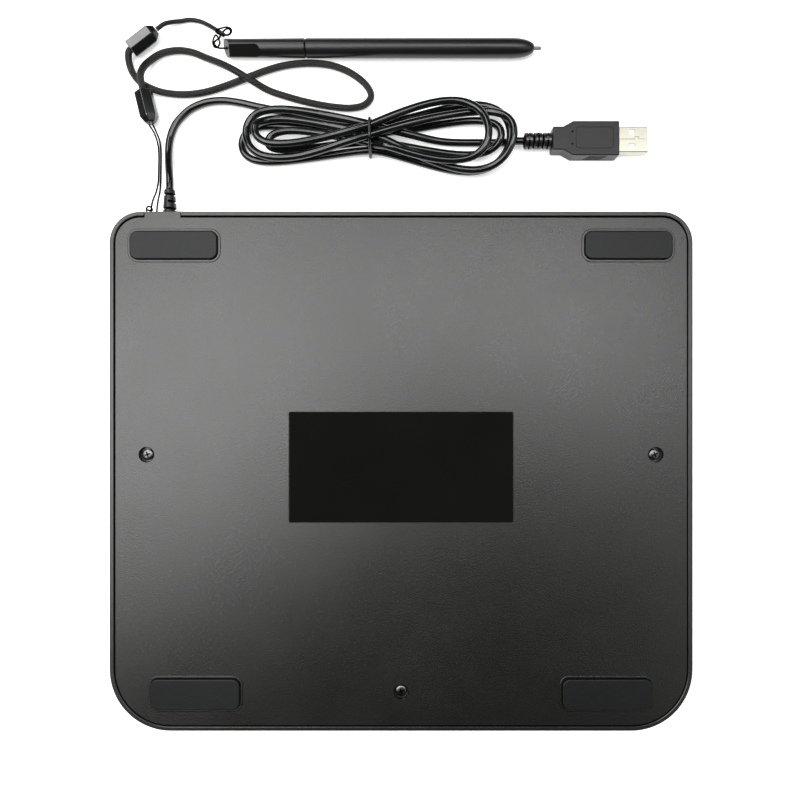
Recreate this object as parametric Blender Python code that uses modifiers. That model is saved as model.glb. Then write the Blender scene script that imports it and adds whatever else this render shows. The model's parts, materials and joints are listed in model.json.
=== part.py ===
# A tethered signature pad that lies face down, with its pen and its tied USB cable behind it.
# Metres. +Z is up, away from the pad's front glass, and +Y points to the edge that the cable leaves.
# The origin is the middle of the pad's front face.

import math

import bmesh
import bpy
import numpy as np
from mathutils import Matrix, Vector

PART_NAME = "signature_pad"

# Gap between pieces that touch, and how far a cutter runs past what it cuts
CLEARANCE = 0.0003
OVERRUN = 0.001

# Pad: overall size and the corners of its outline
PAD_WIDTH = 0.265
PAD_DEPTH = 0.236
PAD_THICKNESS = 0.014
FRONT_CORNER_RADIUS = 0.028
BACK_CORNER_RADIUS = 0.014
EDGE_ROUNDING = 0.0012
CORNER_STEPS = 8

# Front housing
RIM_WALL = 0.002
FACE_WALL = 0.0026
COVER_GAP = 0.0006
POST_RADIUS = 0.0035
POST_HOLE_FLOOR = 0.0035
BOARD_PEG_RADIUS = 0.002
BOARD_PEG_PIN_RADIUS = 0.0009

# Bottom cover
COVER_THICKNESS = 0.002
COVER_RIB_WIDTH = 0.0015
COVER_RIB_DEPTH = 0.0012
COVER_RIB_SIDE_MARGIN = 0.022
RIB_PLACE_SHARES = (-0.3, -0.12, 0.34, 0.5)

# Tongue of the cover, which closes the notch for the cable, measured in from the pad's left side
TONGUE_INSET = 0.0159
TONGUE_WIDTH = 0.0165
TONGUE_FLOOR = 0.0031

# Window side of the pad
GLASS_SIDE_MARGIN = 0.019
GLASS_BACK_MARGIN = 0.01
PALM_REST_DEPTH = 0.08
GLASS_THICKNESS = 0.0011
GLASS_CORNER_RADIUS = 0.003
WINDOW_LEDGE = 0.004
PANEL_SIDE_INSET = 0.0025
PANEL_END_INSET = 0.002
PANEL_THICKNESS = 0.0033
DIGITIZER_THICKNESS = 0.0008
DIGITIZER_MARGIN = 0.0015
SHIELD_THICKNESS = 0.0004
SHIELD_LIP = 0.0012
SHIELD_MARGIN = 0.0005

# Main board and what it carries
BOARD_WIDTH_SHARE = 0.317
BOARD_DEPTH_SHARE = 0.45
BOARD_SIDE_INSET = 0.0305
BOARD_FRONT_SHARE = 0.4
BOARD_THICKNESS = 0.0012
BOARD_HEIGHT = 0.005
BOARD_HOLE_INSET = 0.004
CHIP_SIDE = 0.012
CHIP_HEIGHT = 0.0012
CHIP_PLACE_SHARES = (0.56, 0.5)
HEADER_WIDTH = 0.009
HEADER_DEPTH = 0.005
HEADER_HEIGHT = 0.0032
HEADER_PLACE_SHARES = (0.08, 0.45)
SOCKET_WIDTH = 0.022
SOCKET_DEPTH = 0.004
SOCKET_HEIGHT = 0.0015
SOCKET_PLACE_SHARES = (0.6, 0.9)
RIBBON_WIDTH = 0.018
RIBBON_THICKNESS = 0.0003

# Feet, with the middle of each measured in from the pad's side and its back or front
BACK_FOOT_SIDE_INSET = 0.0295
BACK_FOOT_END_INSET = 0.0155
BACK_FOOT_LENGTH = 0.0396
BACK_FOOT_WIDTH = 0.0127
FRONT_FOOT_SIDE_INSET = 0.0392
FRONT_FOOT_END_INSET = 0.0172
FRONT_FOOT_LENGTH = 0.0406
FRONT_FOOT_WIDTH = 0.0139
FOOT_CORNER_RADIUS = 0.0034
FOOT_PROUD = 0.0016
FOOT_POCKET_DEPTH = 0.001
FOOT_ROUNDING = 0.0005
FOOT_RING_WIDTH = 0.0013
FOOT_RING_PROUD = 0.00035
FOOT_RING_CHAMFER = 0.0003
FOOT_STEPS = 4

# Cover screws and their recesses
SIDE_SCREW_INSET = 0.0169
SIDE_SCREW_Y = 0.0076
FRONT_SCREW_INSET = 0.0178
SCREW_HEAD_RADIUS = 0.0026
SCREW_HEAD_HEIGHT = 0.0017
SCREW_DOME_SHARE = 0.65
SCREW_SHANK_RADIUS = 0.00145
SCREW_SHANK_LENGTH = 0.0065
SCREW_DRIVE_WIDTH = 0.0007
SCREW_DRIVE_LENGTH = 0.003
SCREW_DRIVE_DEPTH = 0.001
RECESS_RADIUS = 0.00335
RECESS_DEPTH = 0.003
CUP_WALL = 0.0014
SCREW_SIDES = 24

# Label plate, bare
LABEL_WIDTH = 0.1016
LABEL_DEPTH = 0.0502
LABEL_Y = 0.0019
LABEL_THICKNESS = 0.0002
LABEL_RECESS = 0.0005
LABEL_CORNER_RADIUS = 0.0006

# USB cable and its gland
CABLE_DIAMETER = 0.0035
INNER_CABLE_DIAMETER = 0.003
CABLE_INSET = 0.0249
CABLE_HEIGHT = 0.0068
GLAND_NECK_RADIUS = 0.0024
GLAND_FLANGE_RADIUS = 0.0036
GLAND_FLANGE_LENGTH = 0.0014
GLAND_BASE_RADIUS = 0.0031
GLAND_TIP_RADIUS = 0.0024
GLAND_LENGTH = 0.0119
GLAND_GROOVE_DEPTH = 0.0005
GLAND_GROOVE_WIDTH = 0.0009
GLAND_GROOVE_SHARES = (0.22, 0.5, 0.78)
GLAND_SIDES = 20

# Plug, which lies flat with its axis along X, this far behind the pad
PLUG_BEHIND = 0.0361
PLUG_HEIGHT = 0.00385
BOOT_RING_RADIUS = 0.00375
BOOT_RING_LENGTH = 0.0036
BOOT_RING_GAP = 0.0007
BOOT_RING_COUNT = 3
BOOT_CORE_RADIUS = 0.0026
BOOT_SIDES = 20
BODY_THICKNESS = 0.0077
BODY_WIDTH = 0.016
BODY_NECK_WIDTH = 0.0109
BODY_LENGTH = 0.031
BODY_NECK_LENGTH = 0.005
BODY_SHOULDER_LENGTH = 0.0045
BODY_ROUNDING = 0.0007
GRIP_COUNT = 7
GRIP_PITCH = 0.00125
GRIP_WIDTH = 0.0006
GRIP_DEPTH = 0.00035
GRIP_START = 0.0166
GRIP_SLANT = math.radians(25)
SHELL_WIDTH = 0.012
SHELL_THICKNESS = 0.0045
SHELL_LENGTH = 0.0133
SHELL_WALL = 0.0003
SHELL_HOLE_SIDE = 0.0024
SHELL_HOLE_X_SHARE = 0.45
SHELL_HOLE_Y = 0.0033
TONGUE_PLATE_WIDTH = 0.0108
TONGUE_PLATE_THICKNESS = 0.0017
TONGUE_PLATE_SHARE = 0.86

# Tied hank of the USB cable, in steps from one strand to the next: four loops between two lobes.
# Side and way say which lobe, and whether it is entered on the +Y side; waist is the strand's place
# at the tie, reach and bulge the lobe's length and half width, and each pair is at start and end.
# Layers are the height at the start, then each change with the stretch over which it comes.
TIE_BESIDE = 0.0932
TIE_BEHIND = 0.0379
TIE_DIAMETER = 0.0014
TIE_SLACK = 0.0003
STRAND_GAP = 0.00062
LEAST_SELF_GAP = 0.0004
LOOP_POINTS = 24
LOW_STEPS = 1.5
WIDE_STEPS = 1.08
HIGH_STEPS = 0.54
TIP_SPREAD_SHARE = 0.03
HANK_HALF_SHARES = (
    {"side": 1, "way": 1, "reach": (15.83, 15.83), "bulge": (3.3, 3.3), "waist": (LOW_STEPS, -LOW_STEPS),
     "round": 0.0, "soft": (0.5, 0.5), "tip": 1.26, "layers": (0,)},
    {"side": -1, "way": -1, "reach": (15.0, 14.56), "bulge": (1.75, 1.46), "waist": (-LOW_STEPS, 0.5),
     "round": 0.2, "soft": (0.5, 0.5), "tip": 0.0, "layers": (0,)},
    {"side": 1, "way": 1, "reach": (14.81, 14.81), "bulge": (1.94, 1.82), "waist": (0.5, -0.5),
     "round": 0.08, "soft": (0.5, 0.5), "tip": 1.26, "layers": (0,)},
    {"side": -1, "way": -1, "reach": (11.65, 11.53), "bulge": (0.87, 1.7), "waist": (-0.5, -WIDE_STEPS),
     "round": 0.14, "soft": (0.5, 0.0), "tip": 0.0, "layers": (0, (1, 0.05, 0.4))},
    {"side": 1, "way": -1, "reach": (13.2, 13.2), "bulge": (2.18, 3.3), "waist": (-WIDE_STEPS, HIGH_STEPS),
     "round": 0.06, "soft": (0.0, 0.0), "tip": 0.63, "layers": (1, (1, 0.0, 0.08))},
    {"side": -1, "way": -1, "reach": (12.86, 12.86), "bulge": (1.82, 1.77), "waist": (HIGH_STEPS, 0.0),
     "round": 0.16, "soft": (0.0, 0.0), "tip": 0.0, "layers": (2, (-1, 0.55, 0.72))},
    {"side": 1, "way": -1, "reach": (16.0, 16.0), "bulge": (4.37, 2.77), "waist": (0.0, -HIGH_STEPS),
     "round": 0.05, "soft": (0.14, 0.0), "tip": 1.55, "layers": (1.06, (0.94, 0.74, 0.9))},
    {"side": -1, "way": -1, "reach": (14.08, 14.08), "bulge": (2.23, 2.09), "waist": (-HIGH_STEPS, WIDE_STEPS),
     "round": 0.17, "soft": (0.0, 0.0), "tip": 0.0, "layers": (2, (-1, 0.07, 0.22))},
)
TIE_LIFT_STEPS = 3.88
HANK_START_STEPS = (9.7, 3.03)
HANK_START_SLOPE_SHARE = 0.21
LEAVE_SLOPE_SHARE = 0.286
LEAVE_LEVEL_STEPS = 11.2
DIVE_STEPS = (3.4, 9.2)
RISE_STEPS = 15.0
HANK_TO_PLUG = 0.0047

# Tether: braided cord, its two crimped ends, the thin cord to the pen, and the threads.
# Places are (x, y) from the cable's place on the pad's back edge.
BRAID_DIAMETER = 0.0032
END_FLATS = 0.0075
END_BARREL_LENGTH = 0.0118
END_NOSE_LENGTH = 0.0032
END_NOSE_RADIUS_SHARE = 0.5
END_SOCKET_DEPTH = 0.002
PAD_END_PLACE = (-0.0115, 0.0515)
PAD_END_ANGLE = math.radians(-76.4)
PEN_END_PLACE = (-0.0135, 0.0838)
PEN_END_ANGLE = math.radians(38)
THIN_CORD_DIAMETER = 0.002
THREAD_DIAMETER = 0.0008
THREAD_HOLE_HEIGHT = 0.0105
THREAD_HOLE_RADIUS = 0.0008
LEFT_THREAD_BESIDE = -0.0072
RIGHT_THREAD_BESIDE = -0.0046
THREAD_INSIDE_LENGTH = 0.0035

# Pen, with its axis along X and its nib at +X
PEN_BEHIND = 0.0794
PEN_HEIGHT = 0.0044
PEN_TAIL_BESIDE = 0.0228
PEN_REAR_LENGTH = 0.0401
PEN_GRIP_LENGTH = 0.0952
PEN_NOSE_LENGTH = 0.0116
NIB_REACH = 0.0037
PEN_TAIL_RADIUS = 0.0039
PEN_SPLIT_RADIUS = 0.0042
PEN_GRIP_RADIUS = 0.0043
PEN_NOSE_RADIUS = 0.0016
PEN_NOSE_SHARES = ((0.3, 0.93), (0.6, 0.74), (0.85, 0.5))
PEN_BORE_RADIUS = 0.0031
PEN_TAIL_SLANT = math.radians(19)
PEN_TAIL_HOLE_RADIUS = 0.0009
PEN_TAIL_HOLE_DEPTH = 0.003
PEN_TAIL_LEAN = math.radians(24)
PEN_FLAT_END = 0.0192
PEN_FLAT_WIDTH = 0.0058
PEN_FLAT_DEPTH = 0.0011
PEN_FLAT_TURN = math.radians(47)
PEN_SPIGOT_LENGTH = 0.0095
PEN_SIDES = 28
NIB_RADIUS = 0.00085
NIB_HOLE_RADIUS = 0.00125
NIB_LENGTH = 0.028
NIB_TIP_SHARES = ((0.5, 0.13), (0.87, 0.5), (1, 1))
CARRIER_RADIUS = 0.0025
CARRIER_LENGTH = 0.012
CARRIER_GRIP = 0.004
COIL_RADIUS = 0.0026
COIL_LENGTH = 0.009
COIL_FLANGE = 0.0006
SPRING_RADIUS = 0.0018
SPRING_WIRE = 0.0005
SPRING_PITCH = 0.0012
SPRING_TURNS = 5
SPRING_POINTS = 10
PEN_BOARD_LENGTH = 0.04
PEN_BOARD_WIDTH = 0.0048
PEN_BOARD_THICKNESS = 0.0008

# Routes of the free cords, as (x, y, height of the centreline), from where each leaves its fitting.
# x is from the cable's own place, and y from the pad's back edge.
USB_LEAD_ROUTE = (
    (-0.0007, 0.0210, 0.0056), (-0.0016, 0.0260, 0.0038), (-0.0022, 0.0320, 0.0023),
    (-0.0017, 0.0380, 0.0018), (0.0003, 0.0437, 0.0018), (0.0036, 0.0482, 0.0018),
    (0.0086, 0.0524, 0.0018), (0.0156, 0.0552, 0.0018), (0.0236, 0.0560, 0.0018),
    (0.0316, 0.0550, 0.0018), (0.0386, 0.0534, 0.0018), (0.0456, 0.0520, 0.0018),
)
BRAID_ROUTE = (
    (-0.0209, 0.0746, 0.0027), (-0.0199, 0.0702, 0.0017), (-0.0174, 0.0663, 0.0017),
    (-0.0149, 0.0641, 0.0017), (-0.0114, 0.0622, 0.0017), (-0.0054, 0.0601, 0.0017),
    (0.0016, 0.0591, 0.0017), (0.0086, 0.0592, 0.0017), (0.0156, 0.0603, 0.0017),
    (0.0226, 0.0624, 0.0017), (0.0296, 0.0649, 0.0017), (0.0366, 0.0677, 0.0017),
    (0.0436, 0.0703, 0.0017), (0.0516, 0.0725, 0.0017), (0.0596, 0.0736, 0.0017),
    (0.0676, 0.0737, 0.0017), (0.0756, 0.0725, 0.0017), (0.0836, 0.0693, 0.0017),
    (0.0906, 0.0640, 0.0017), (0.0934, 0.0585, 0.0017), (0.0904, 0.0542, 0.0017),
    (0.0836, 0.0526, 0.0017), (0.0736, 0.0534, 0.0017), (0.0636, 0.0553, 0.0017),
    (0.0536, 0.0580, 0.0017), (0.0446, 0.0610, 0.0020), (0.0366, 0.0648, 0.0044),
    (0.0296, 0.0686, 0.0054), (0.0226, 0.0726, 0.0040), (0.0156, 0.0762, 0.0019),
    (0.0086, 0.0790, 0.0017), (0.0016, 0.0798, 0.0017), (-0.0054, 0.0785, 0.0017),
    (-0.0104, 0.0750, 0.0024), (-0.0133, 0.0702, 0.0046), (-0.0142, 0.0657, 0.0055),
)
THIN_CORD_ROUTE = (
    (-0.0036, 0.0915, 0.0034), (-0.0006, 0.0930, 0.0022), (0.0031, 0.0942, 0.0011),
    (0.0076, 0.0948, 0.0011), (0.0121, 0.0941, 0.0011), (0.0161, 0.0922, 0.0013),
    (0.0196, 0.0897, 0.0024), (0.0224, 0.0873, 0.0036), (0.0244, 0.0857, 0.0042),
)
LEFT_THREAD_ROUTE = (
    (-0.0087, 0.0402, 0.0031), (-0.0078, 0.0365, 0.0012), (-0.0074, 0.0320, 0.0005),
    (-0.0074, 0.0270, 0.0005), (-0.0075, 0.0220, 0.0005), (-0.0076, 0.0170, 0.0010),
    (-0.0076, 0.0120, 0.0035), (-0.0074, 0.0080, 0.0070), (-0.0072, 0.0042, 0.0098),
)
RIGHT_THREAD_ROUTE = (
    (-0.0076, 0.0404, 0.0032), (-0.0063, 0.0370, 0.0012), (-0.0058, 0.0320, 0.0005),
    (-0.0059, 0.0270, 0.0005), (-0.0060, 0.0220, 0.0005), (-0.0059, 0.0170, 0.0010),
    (-0.0054, 0.0120, 0.0035), (-0.0049, 0.0080, 0.0070), (-0.0046, 0.0042, 0.0098),
)
PEN_THREAD_ROUTE = (
    (0.0281, 0.0794, 0.0044), (0.0226, 0.0794, 0.0044), (0.0208, 0.0804, 0.0042),
    (0.0198, 0.0821, 0.0038), (0.0203, 0.0838, 0.0030), (0.0214, 0.0851, 0.0021),
    (0.0221, 0.0865, 0.0020), (0.0231, 0.0877, 0.0024), (0.0248, 0.0885, 0.0036),
    (0.0267, 0.0882, 0.0050), (0.0279, 0.0869, 0.0056), (0.0276, 0.0854, 0.0056),
    (0.0265, 0.0847, 0.0058),
)


def clear_scene():
    for item in list(bpy.data.objects):
        bpy.data.objects.remove(item, do_unlink=True)


def new_collection(name):
    group = bpy.data.collections.new(name)
    bpy.context.scene.collection.children.link(group)
    return group


clear_scene()
PARTS = new_collection(PART_NAME)
HELPERS = new_collection("cutters")


def finish(name, colour, roughness, metallic=0.0):
    """A Principled material, made once for each name."""
    if name in bpy.data.materials:
        return bpy.data.materials[name]
    made = bpy.data.materials.new(name)
    made.use_nodes = True
    shader = made.node_tree.nodes["Principled BSDF"]
    shader.inputs["Base Color"].default_value = (*colour, 1.0)
    shader.inputs["Roughness"].default_value = roughness
    shader.inputs["Metallic"].default_value = metallic
    made.diffuse_color = (*colour, 1.0)
    return made


def case_plastic():
    return finish("case_plastic", (0.16, 0.16, 0.155), 0.55)


def dark_rubber():
    return finish("dark_rubber", (0.055, 0.058, 0.057), 0.8)


def screw_steel():
    return finish("screw_steel", (0.12, 0.12, 0.125), 0.3, 1.0)


def plain_label():
    return finish("plain_label", (0.009, 0.009, 0.008), 0.6)


def cable_skin():
    return finish("cable_skin", (0.03, 0.032, 0.033), 0.32)


def plug_plastic():
    return finish("plug_plastic", (0.06, 0.062, 0.062), 0.5)


def bright_steel():
    return finish("bright_steel", (0.86, 0.83, 0.74), 0.22, 1.0)


def white_plastic():
    return finish("white_plastic", (0.82, 0.82, 0.8), 0.45)


def braid_fabric():
    return finish("braid_fabric", (0.085, 0.085, 0.08), 0.75)


def thread_black():
    return finish("thread_black", (0.015, 0.015, 0.015), 0.7)


def pen_plastic():
    return finish("pen_plastic", (0.05, 0.051, 0.05), 0.45)


def nib_plastic():
    return finish("nib_plastic", (0.35, 0.36, 0.36), 0.5)


def window_glass():
    return finish("window_glass", (0.02, 0.02, 0.022), 0.08)


def panel_black():
    return finish("panel_black", (0.05, 0.05, 0.055), 0.4)


def board_green():
    return finish("board_green", (0.03, 0.16, 0.07), 0.5)


def chip_black():
    return finish("chip_black", (0.03, 0.03, 0.03), 0.45)


def zinc_steel():
    return finish("zinc_steel", (0.62, 0.63, 0.64), 0.4, 1.0)


def ribbon_film():
    return finish("ribbon_film", (0.55, 0.33, 0.1), 0.45)


def coil_copper():
    return finish("coil_copper", (0.6, 0.27, 0.14), 0.35, 1.0)


def place_object(name, data, material=None, group=None):
    """Links a new object; without a material it is a cutter or another helper."""
    item = bpy.data.objects.new(name, data)
    (group or (PARTS if material else HELPERS)).objects.link(item)
    if material:
        data.materials.append(material)
    else:
        item.hide_render = True
        item.display_type = "WIRE"
    return item


def curve_to_mesh(curve, name, material=None):
    """The curve's evaluated mesh as an object of its own, with its caps welded on."""
    graph = bpy.context.evaluated_depsgraph_get()
    data = bpy.data.meshes.new_from_object(curve.evaluated_get(graph))
    data.materials.clear()
    shape = bmesh.new()
    shape.from_mesh(data)
    bmesh.ops.remove_doubles(shape, verts=shape.verts, dist=CLEARANCE / 100)
    bmesh.ops.recalc_face_normals(shape, faces=shape.faces)
    shape.to_mesh(data)
    shape.free()
    data.name = name
    matrix = curve.matrix_world.copy()
    bpy.data.objects.remove(curve, do_unlink=True)
    item = place_object(name, data, material)
    item.matrix_world = matrix
    return item


def arc(centre, radius, start, end, steps):
    turns = np.linspace(start, end, steps + 1)
    return [(centre[0] + radius * math.cos(a), centre[1] + radius * math.sin(a)) for a in turns]


def rounded_outline(left, right, front, back, front_radius, back_radius, steps=CORNER_STEPS):
    """A rectangle whose front and back corners have their own radii."""
    quarter = math.pi / 2
    points = arc((right - front_radius, front + front_radius), front_radius, -quarter, 0, steps)
    points += arc((right - back_radius, back - back_radius), back_radius, 0, quarter, steps)
    points += arc((left + back_radius, back - back_radius), back_radius, quarter, 2 * quarter, steps)
    points += arc((left + front_radius, front + front_radius), front_radius, 2 * quarter, 3 * quarter, steps)
    return points


def centred_outline(width, depth, radius, centre=(0, 0), steps=FOOT_STEPS):
    x, y = centre
    return rounded_outline(x - width / 2, x + width / 2, y - depth / 2, y + depth / 2, radius, radius, steps)


def plate(name, points, bottom, top, material=None):
    """A flat outline extruded from one height to another."""
    data = bpy.data.curves.new(name + "_outline", "CURVE")
    data.dimensions = "2D"
    data.fill_mode = "BOTH"
    data.extrude = (top - bottom) / 2
    spline = data.splines.new("POLY")
    spline.points.add(len(points) - 1)
    for point, (x, y) in zip(spline.points, points):
        point.co = (x, y, 0, 1)
    spline.use_cyclic_u = True
    curve = bpy.data.objects.new(name + "_outline", data)
    curve.location = (0, 0, (top + bottom) / 2)
    HELPERS.objects.link(curve)
    bpy.context.view_layer.update()
    return curve_to_mesh(curve, name, material)


def block(name, low, high, material=None):
    """A box between two opposite corners."""
    data = bpy.data.meshes.new(name)
    shape = bmesh.new()
    bmesh.ops.create_cube(shape, size=1)
    size = [b - a for a, b in zip(low, high)]
    bmesh.ops.scale(shape, vec=size, verts=shape.verts)
    bmesh.ops.translate(shape, vec=[(a + b) / 2 for a, b in zip(low, high)], verts=shape.verts)
    shape.to_mesh(data)
    shape.free()
    return place_object(name, data, material)


def turned(name, profile, steps, material=None):
    """A profile of (radius, height) points, listed from the top down, turned about local Z."""
    data = bpy.data.meshes.new(name)
    shape = bmesh.new()
    corners = [shape.verts.new((radius, 0, height)) for radius, height in profile]
    for first, second in zip(corners, corners[1:]):
        shape.edges.new((first, second))
    if profile[0][0] > 0 and profile[-1][0] > 0:
        shape.edges.new((corners[-1], corners[0]))
    shape.to_mesh(data)
    shape.free()
    item = place_object(name, data, material)
    screw = item.modifiers.new("turn", "SCREW")
    screw.steps = steps
    screw.render_steps = steps
    screw.use_merge_vertices = True
    screw.merge_threshold = CLEARANCE / 100
    screw.use_smooth_shade = True
    return item


def along_x(item, x, y, z):
    """Lays a turned piece, made along +Z, with its axis along +X."""
    item.matrix_world = Matrix.Translation((x, y, z)) @ Matrix.Rotation(math.pi / 2, 4, "Y")
    return item


def along_y(item, x, y, z):
    """Lays a turned piece, made along +Z, with its axis along +Y."""
    item.matrix_world = Matrix.Translation((x, y, z)) @ Matrix.Rotation(-math.pi / 2, 4, "X")
    return item


def boolean(item, other, operation):
    change = item.modifiers.new(other.name, "BOOLEAN")
    change.operation = operation
    change.solver = "EXACT"
    change.object = other
    return item


def cut(item, *cutters):
    for cutter in cutters:
        boolean(item, cutter, "DIFFERENCE")
    return item


def join(item, *others):
    for other in others:
        boolean(item, other, "UNION")
    return item


def bevel(item, width, segments=2, angle=math.radians(50)):
    change = item.modifiers.new("edge", "BEVEL")
    change.width = width
    change.segments = segments
    change.limit_method = "ANGLE"
    change.angle_limit = angle
    return item


def smooth_route(points, spacing):
    """Points at even steps along a smooth curve through the route, with straight end legs."""
    knots = [Vector(p) for p in points]
    fine = []
    for a, b, c, d in zip(knots, knots[1:], knots[2:], knots[3:]):
        for share in np.linspace(0, 1, LOOP_POINTS, endpoint=False):
            fine.append(catmull(a, b, c, d, share))
    fine.append(knots[-2])
    track = np.array([tuple(p) for p in fine])
    lengths = np.concatenate([[0], np.cumsum(np.linalg.norm(np.diff(track, axis=0), axis=1))])
    count = max(2, round(lengths[-1] / spacing))
    wanted = np.linspace(0, lengths[-1], count + 1)
    middle = np.column_stack([np.interp(wanted, lengths, track[:, axis]) for axis in range(3)])
    return np.vstack([points[0], middle, points[-1]])


def catmull(a, b, c, d, share):
    """The point at this share of the way from b to c on a smooth curve past a, b, c and d."""
    return 0.5 * (
        2 * b
        + (c - a) * share
        + (2 * a - 5 * b + 4 * c - d) * share**2
        + (3 * b - a - 3 * c + d) * share**3
    )


def tube(name, points, diameter, material, resolution=2, closed=False):
    """A round tube along the points, with filled ends."""
    data = bpy.data.curves.new(name, "CURVE")
    data.dimensions = "3D"
    data.bevel_depth = diameter / 2
    data.bevel_resolution = resolution
    data.use_fill_caps = not closed
    spline = data.splines.new("POLY")
    spline.points.add(len(points) - 1)
    for point, place in zip(spline.points, points):
        point.co = (*place, 1)
    spline.use_cyclic_u = closed
    return place_object(name, data, material)


def free_cord(name, route, diameter, material):
    """A cord along its route, with a point every two and a half diameters or so."""
    return tube(name, smooth_route(route, 2.5 * diameter), diameter, material)


# Levels and places that several pieces share

COVER_TOP = PAD_THICKNESS
COVER_BOTTOM = PAD_THICKNESS - COVER_THICKNESS
RECESS_FLOOR = COVER_TOP - RECESS_DEPTH
CUP_BOTTOM = RECESS_FLOOR - CUP_WALL
POST_TOP = CUP_BOTTOM - CLEARANCE
PAD_SIDE = PAD_WIDTH / 2
PAD_BACK = PAD_DEPTH / 2
SIDE_SCREW_X = PAD_SIDE - SIDE_SCREW_INSET
SCREW_PLACES = {
    "left": (-SIDE_SCREW_X, SIDE_SCREW_Y),
    "right": (SIDE_SCREW_X, SIDE_SCREW_Y),
    "front": (0, FRONT_SCREW_INSET - PAD_BACK),
}
BACK_FOOT_X = PAD_SIDE - BACK_FOOT_SIDE_INSET
BACK_FOOT_Y = PAD_BACK - BACK_FOOT_END_INSET
FRONT_FOOT_X = PAD_SIDE - FRONT_FOOT_SIDE_INSET
FRONT_FOOT_Y = FRONT_FOOT_END_INSET - PAD_BACK
FOOT_PLACES = {
    "back_left": (-BACK_FOOT_X, BACK_FOOT_Y, BACK_FOOT_LENGTH, BACK_FOOT_WIDTH),
    "back_right": (BACK_FOOT_X, BACK_FOOT_Y, BACK_FOOT_LENGTH, BACK_FOOT_WIDTH),
    "front_left": (-FRONT_FOOT_X, FRONT_FOOT_Y, FRONT_FOOT_LENGTH, FRONT_FOOT_WIDTH),
    "front_right": (FRONT_FOOT_X, FRONT_FOOT_Y, FRONT_FOOT_LENGTH, FRONT_FOOT_WIDTH),
}
TONGUE_LEFT = TONGUE_INSET - PAD_SIDE
TONGUE_RIGHT = TONGUE_LEFT + TONGUE_WIDTH
GLASS_WIDTH = PAD_WIDTH - 2 * GLASS_SIDE_MARGIN
GLASS_DEPTH = PAD_DEPTH - GLASS_BACK_MARGIN - PALM_REST_DEPTH
GLASS_CENTRE = (0, PAD_BACK - GLASS_BACK_MARGIN - GLASS_DEPTH / 2)
PANEL_WIDTH = GLASS_WIDTH - 2 * PANEL_SIDE_INSET
PANEL_DEPTH = GLASS_DEPTH - 2 * PANEL_END_INSET
BOARD_WIDTH = BOARD_WIDTH_SHARE * PAD_WIDTH
BOARD_DEPTH = BOARD_DEPTH_SHARE * PALM_REST_DEPTH
BOARD_LEFT = BOARD_SIDE_INSET - PAD_SIDE
BOARD_FRONT = BOARD_FRONT_SHARE * PALM_REST_DEPTH - PAD_BACK
CABLE_X = CABLE_INSET - PAD_SIDE
TIE_X = CABLE_X + TIE_BESIDE
TIE_Y = PAD_BACK + TIE_BEHIND
PLUG_Y = PAD_BACK + PLUG_BEHIND
PEN_Y = PAD_BACK + PEN_BEHIND
PEN_TAIL_X = CABLE_X + PEN_TAIL_BESIDE
PEN_SPLIT_X = PEN_TAIL_X + PEN_REAR_LENGTH
PEN_NOSE_X = PEN_SPLIT_X + PEN_GRIP_LENGTH
PEN_NOSE_END_X = PEN_NOSE_X + PEN_NOSE_LENGTH
NIB_TIP_X = PEN_NOSE_END_X + NIB_REACH
BOARD_HOLES = [
    (BOARD_LEFT + inset_x, BOARD_FRONT + inset_y)
    for inset_x in (BOARD_HOLE_INSET, BOARD_WIDTH - BOARD_HOLE_INSET)
    for inset_y in (BOARD_HOLE_INSET, BOARD_DEPTH - BOARD_HOLE_INSET)
]


def from_cable(points):
    """Points given from the cable's place on the pad's back edge, in the pad's own frame."""
    return [(CABLE_X + x, PAD_BACK + y, *height) for x, y, *height in points]


def pad_outline(inset):
    """The pad's outline, drawn in by this much all round."""
    half_width = PAD_SIDE - inset
    half_depth = PAD_BACK - inset
    return rounded_outline(
        -half_width, half_width, -half_depth, half_depth,
        FRONT_CORNER_RADIUS - inset, BACK_CORNER_RADIUS - inset,
    )


# Pad


def cylinder(name, radius, bottom, top, place, sides=SCREW_SIDES):
    """A helper cylinder that stands at (x, y)."""
    data = bpy.data.meshes.new(name)
    shape = bmesh.new()
    bmesh.ops.create_cone(
        shape, cap_ends=True, segments=sides, radius1=radius, radius2=radius, depth=top - bottom)
    bmesh.ops.translate(shape, vec=(*place, (top + bottom) / 2), verts=shape.verts)
    shape.to_mesh(data)
    shape.free()
    return place_object(name, data)


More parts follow.
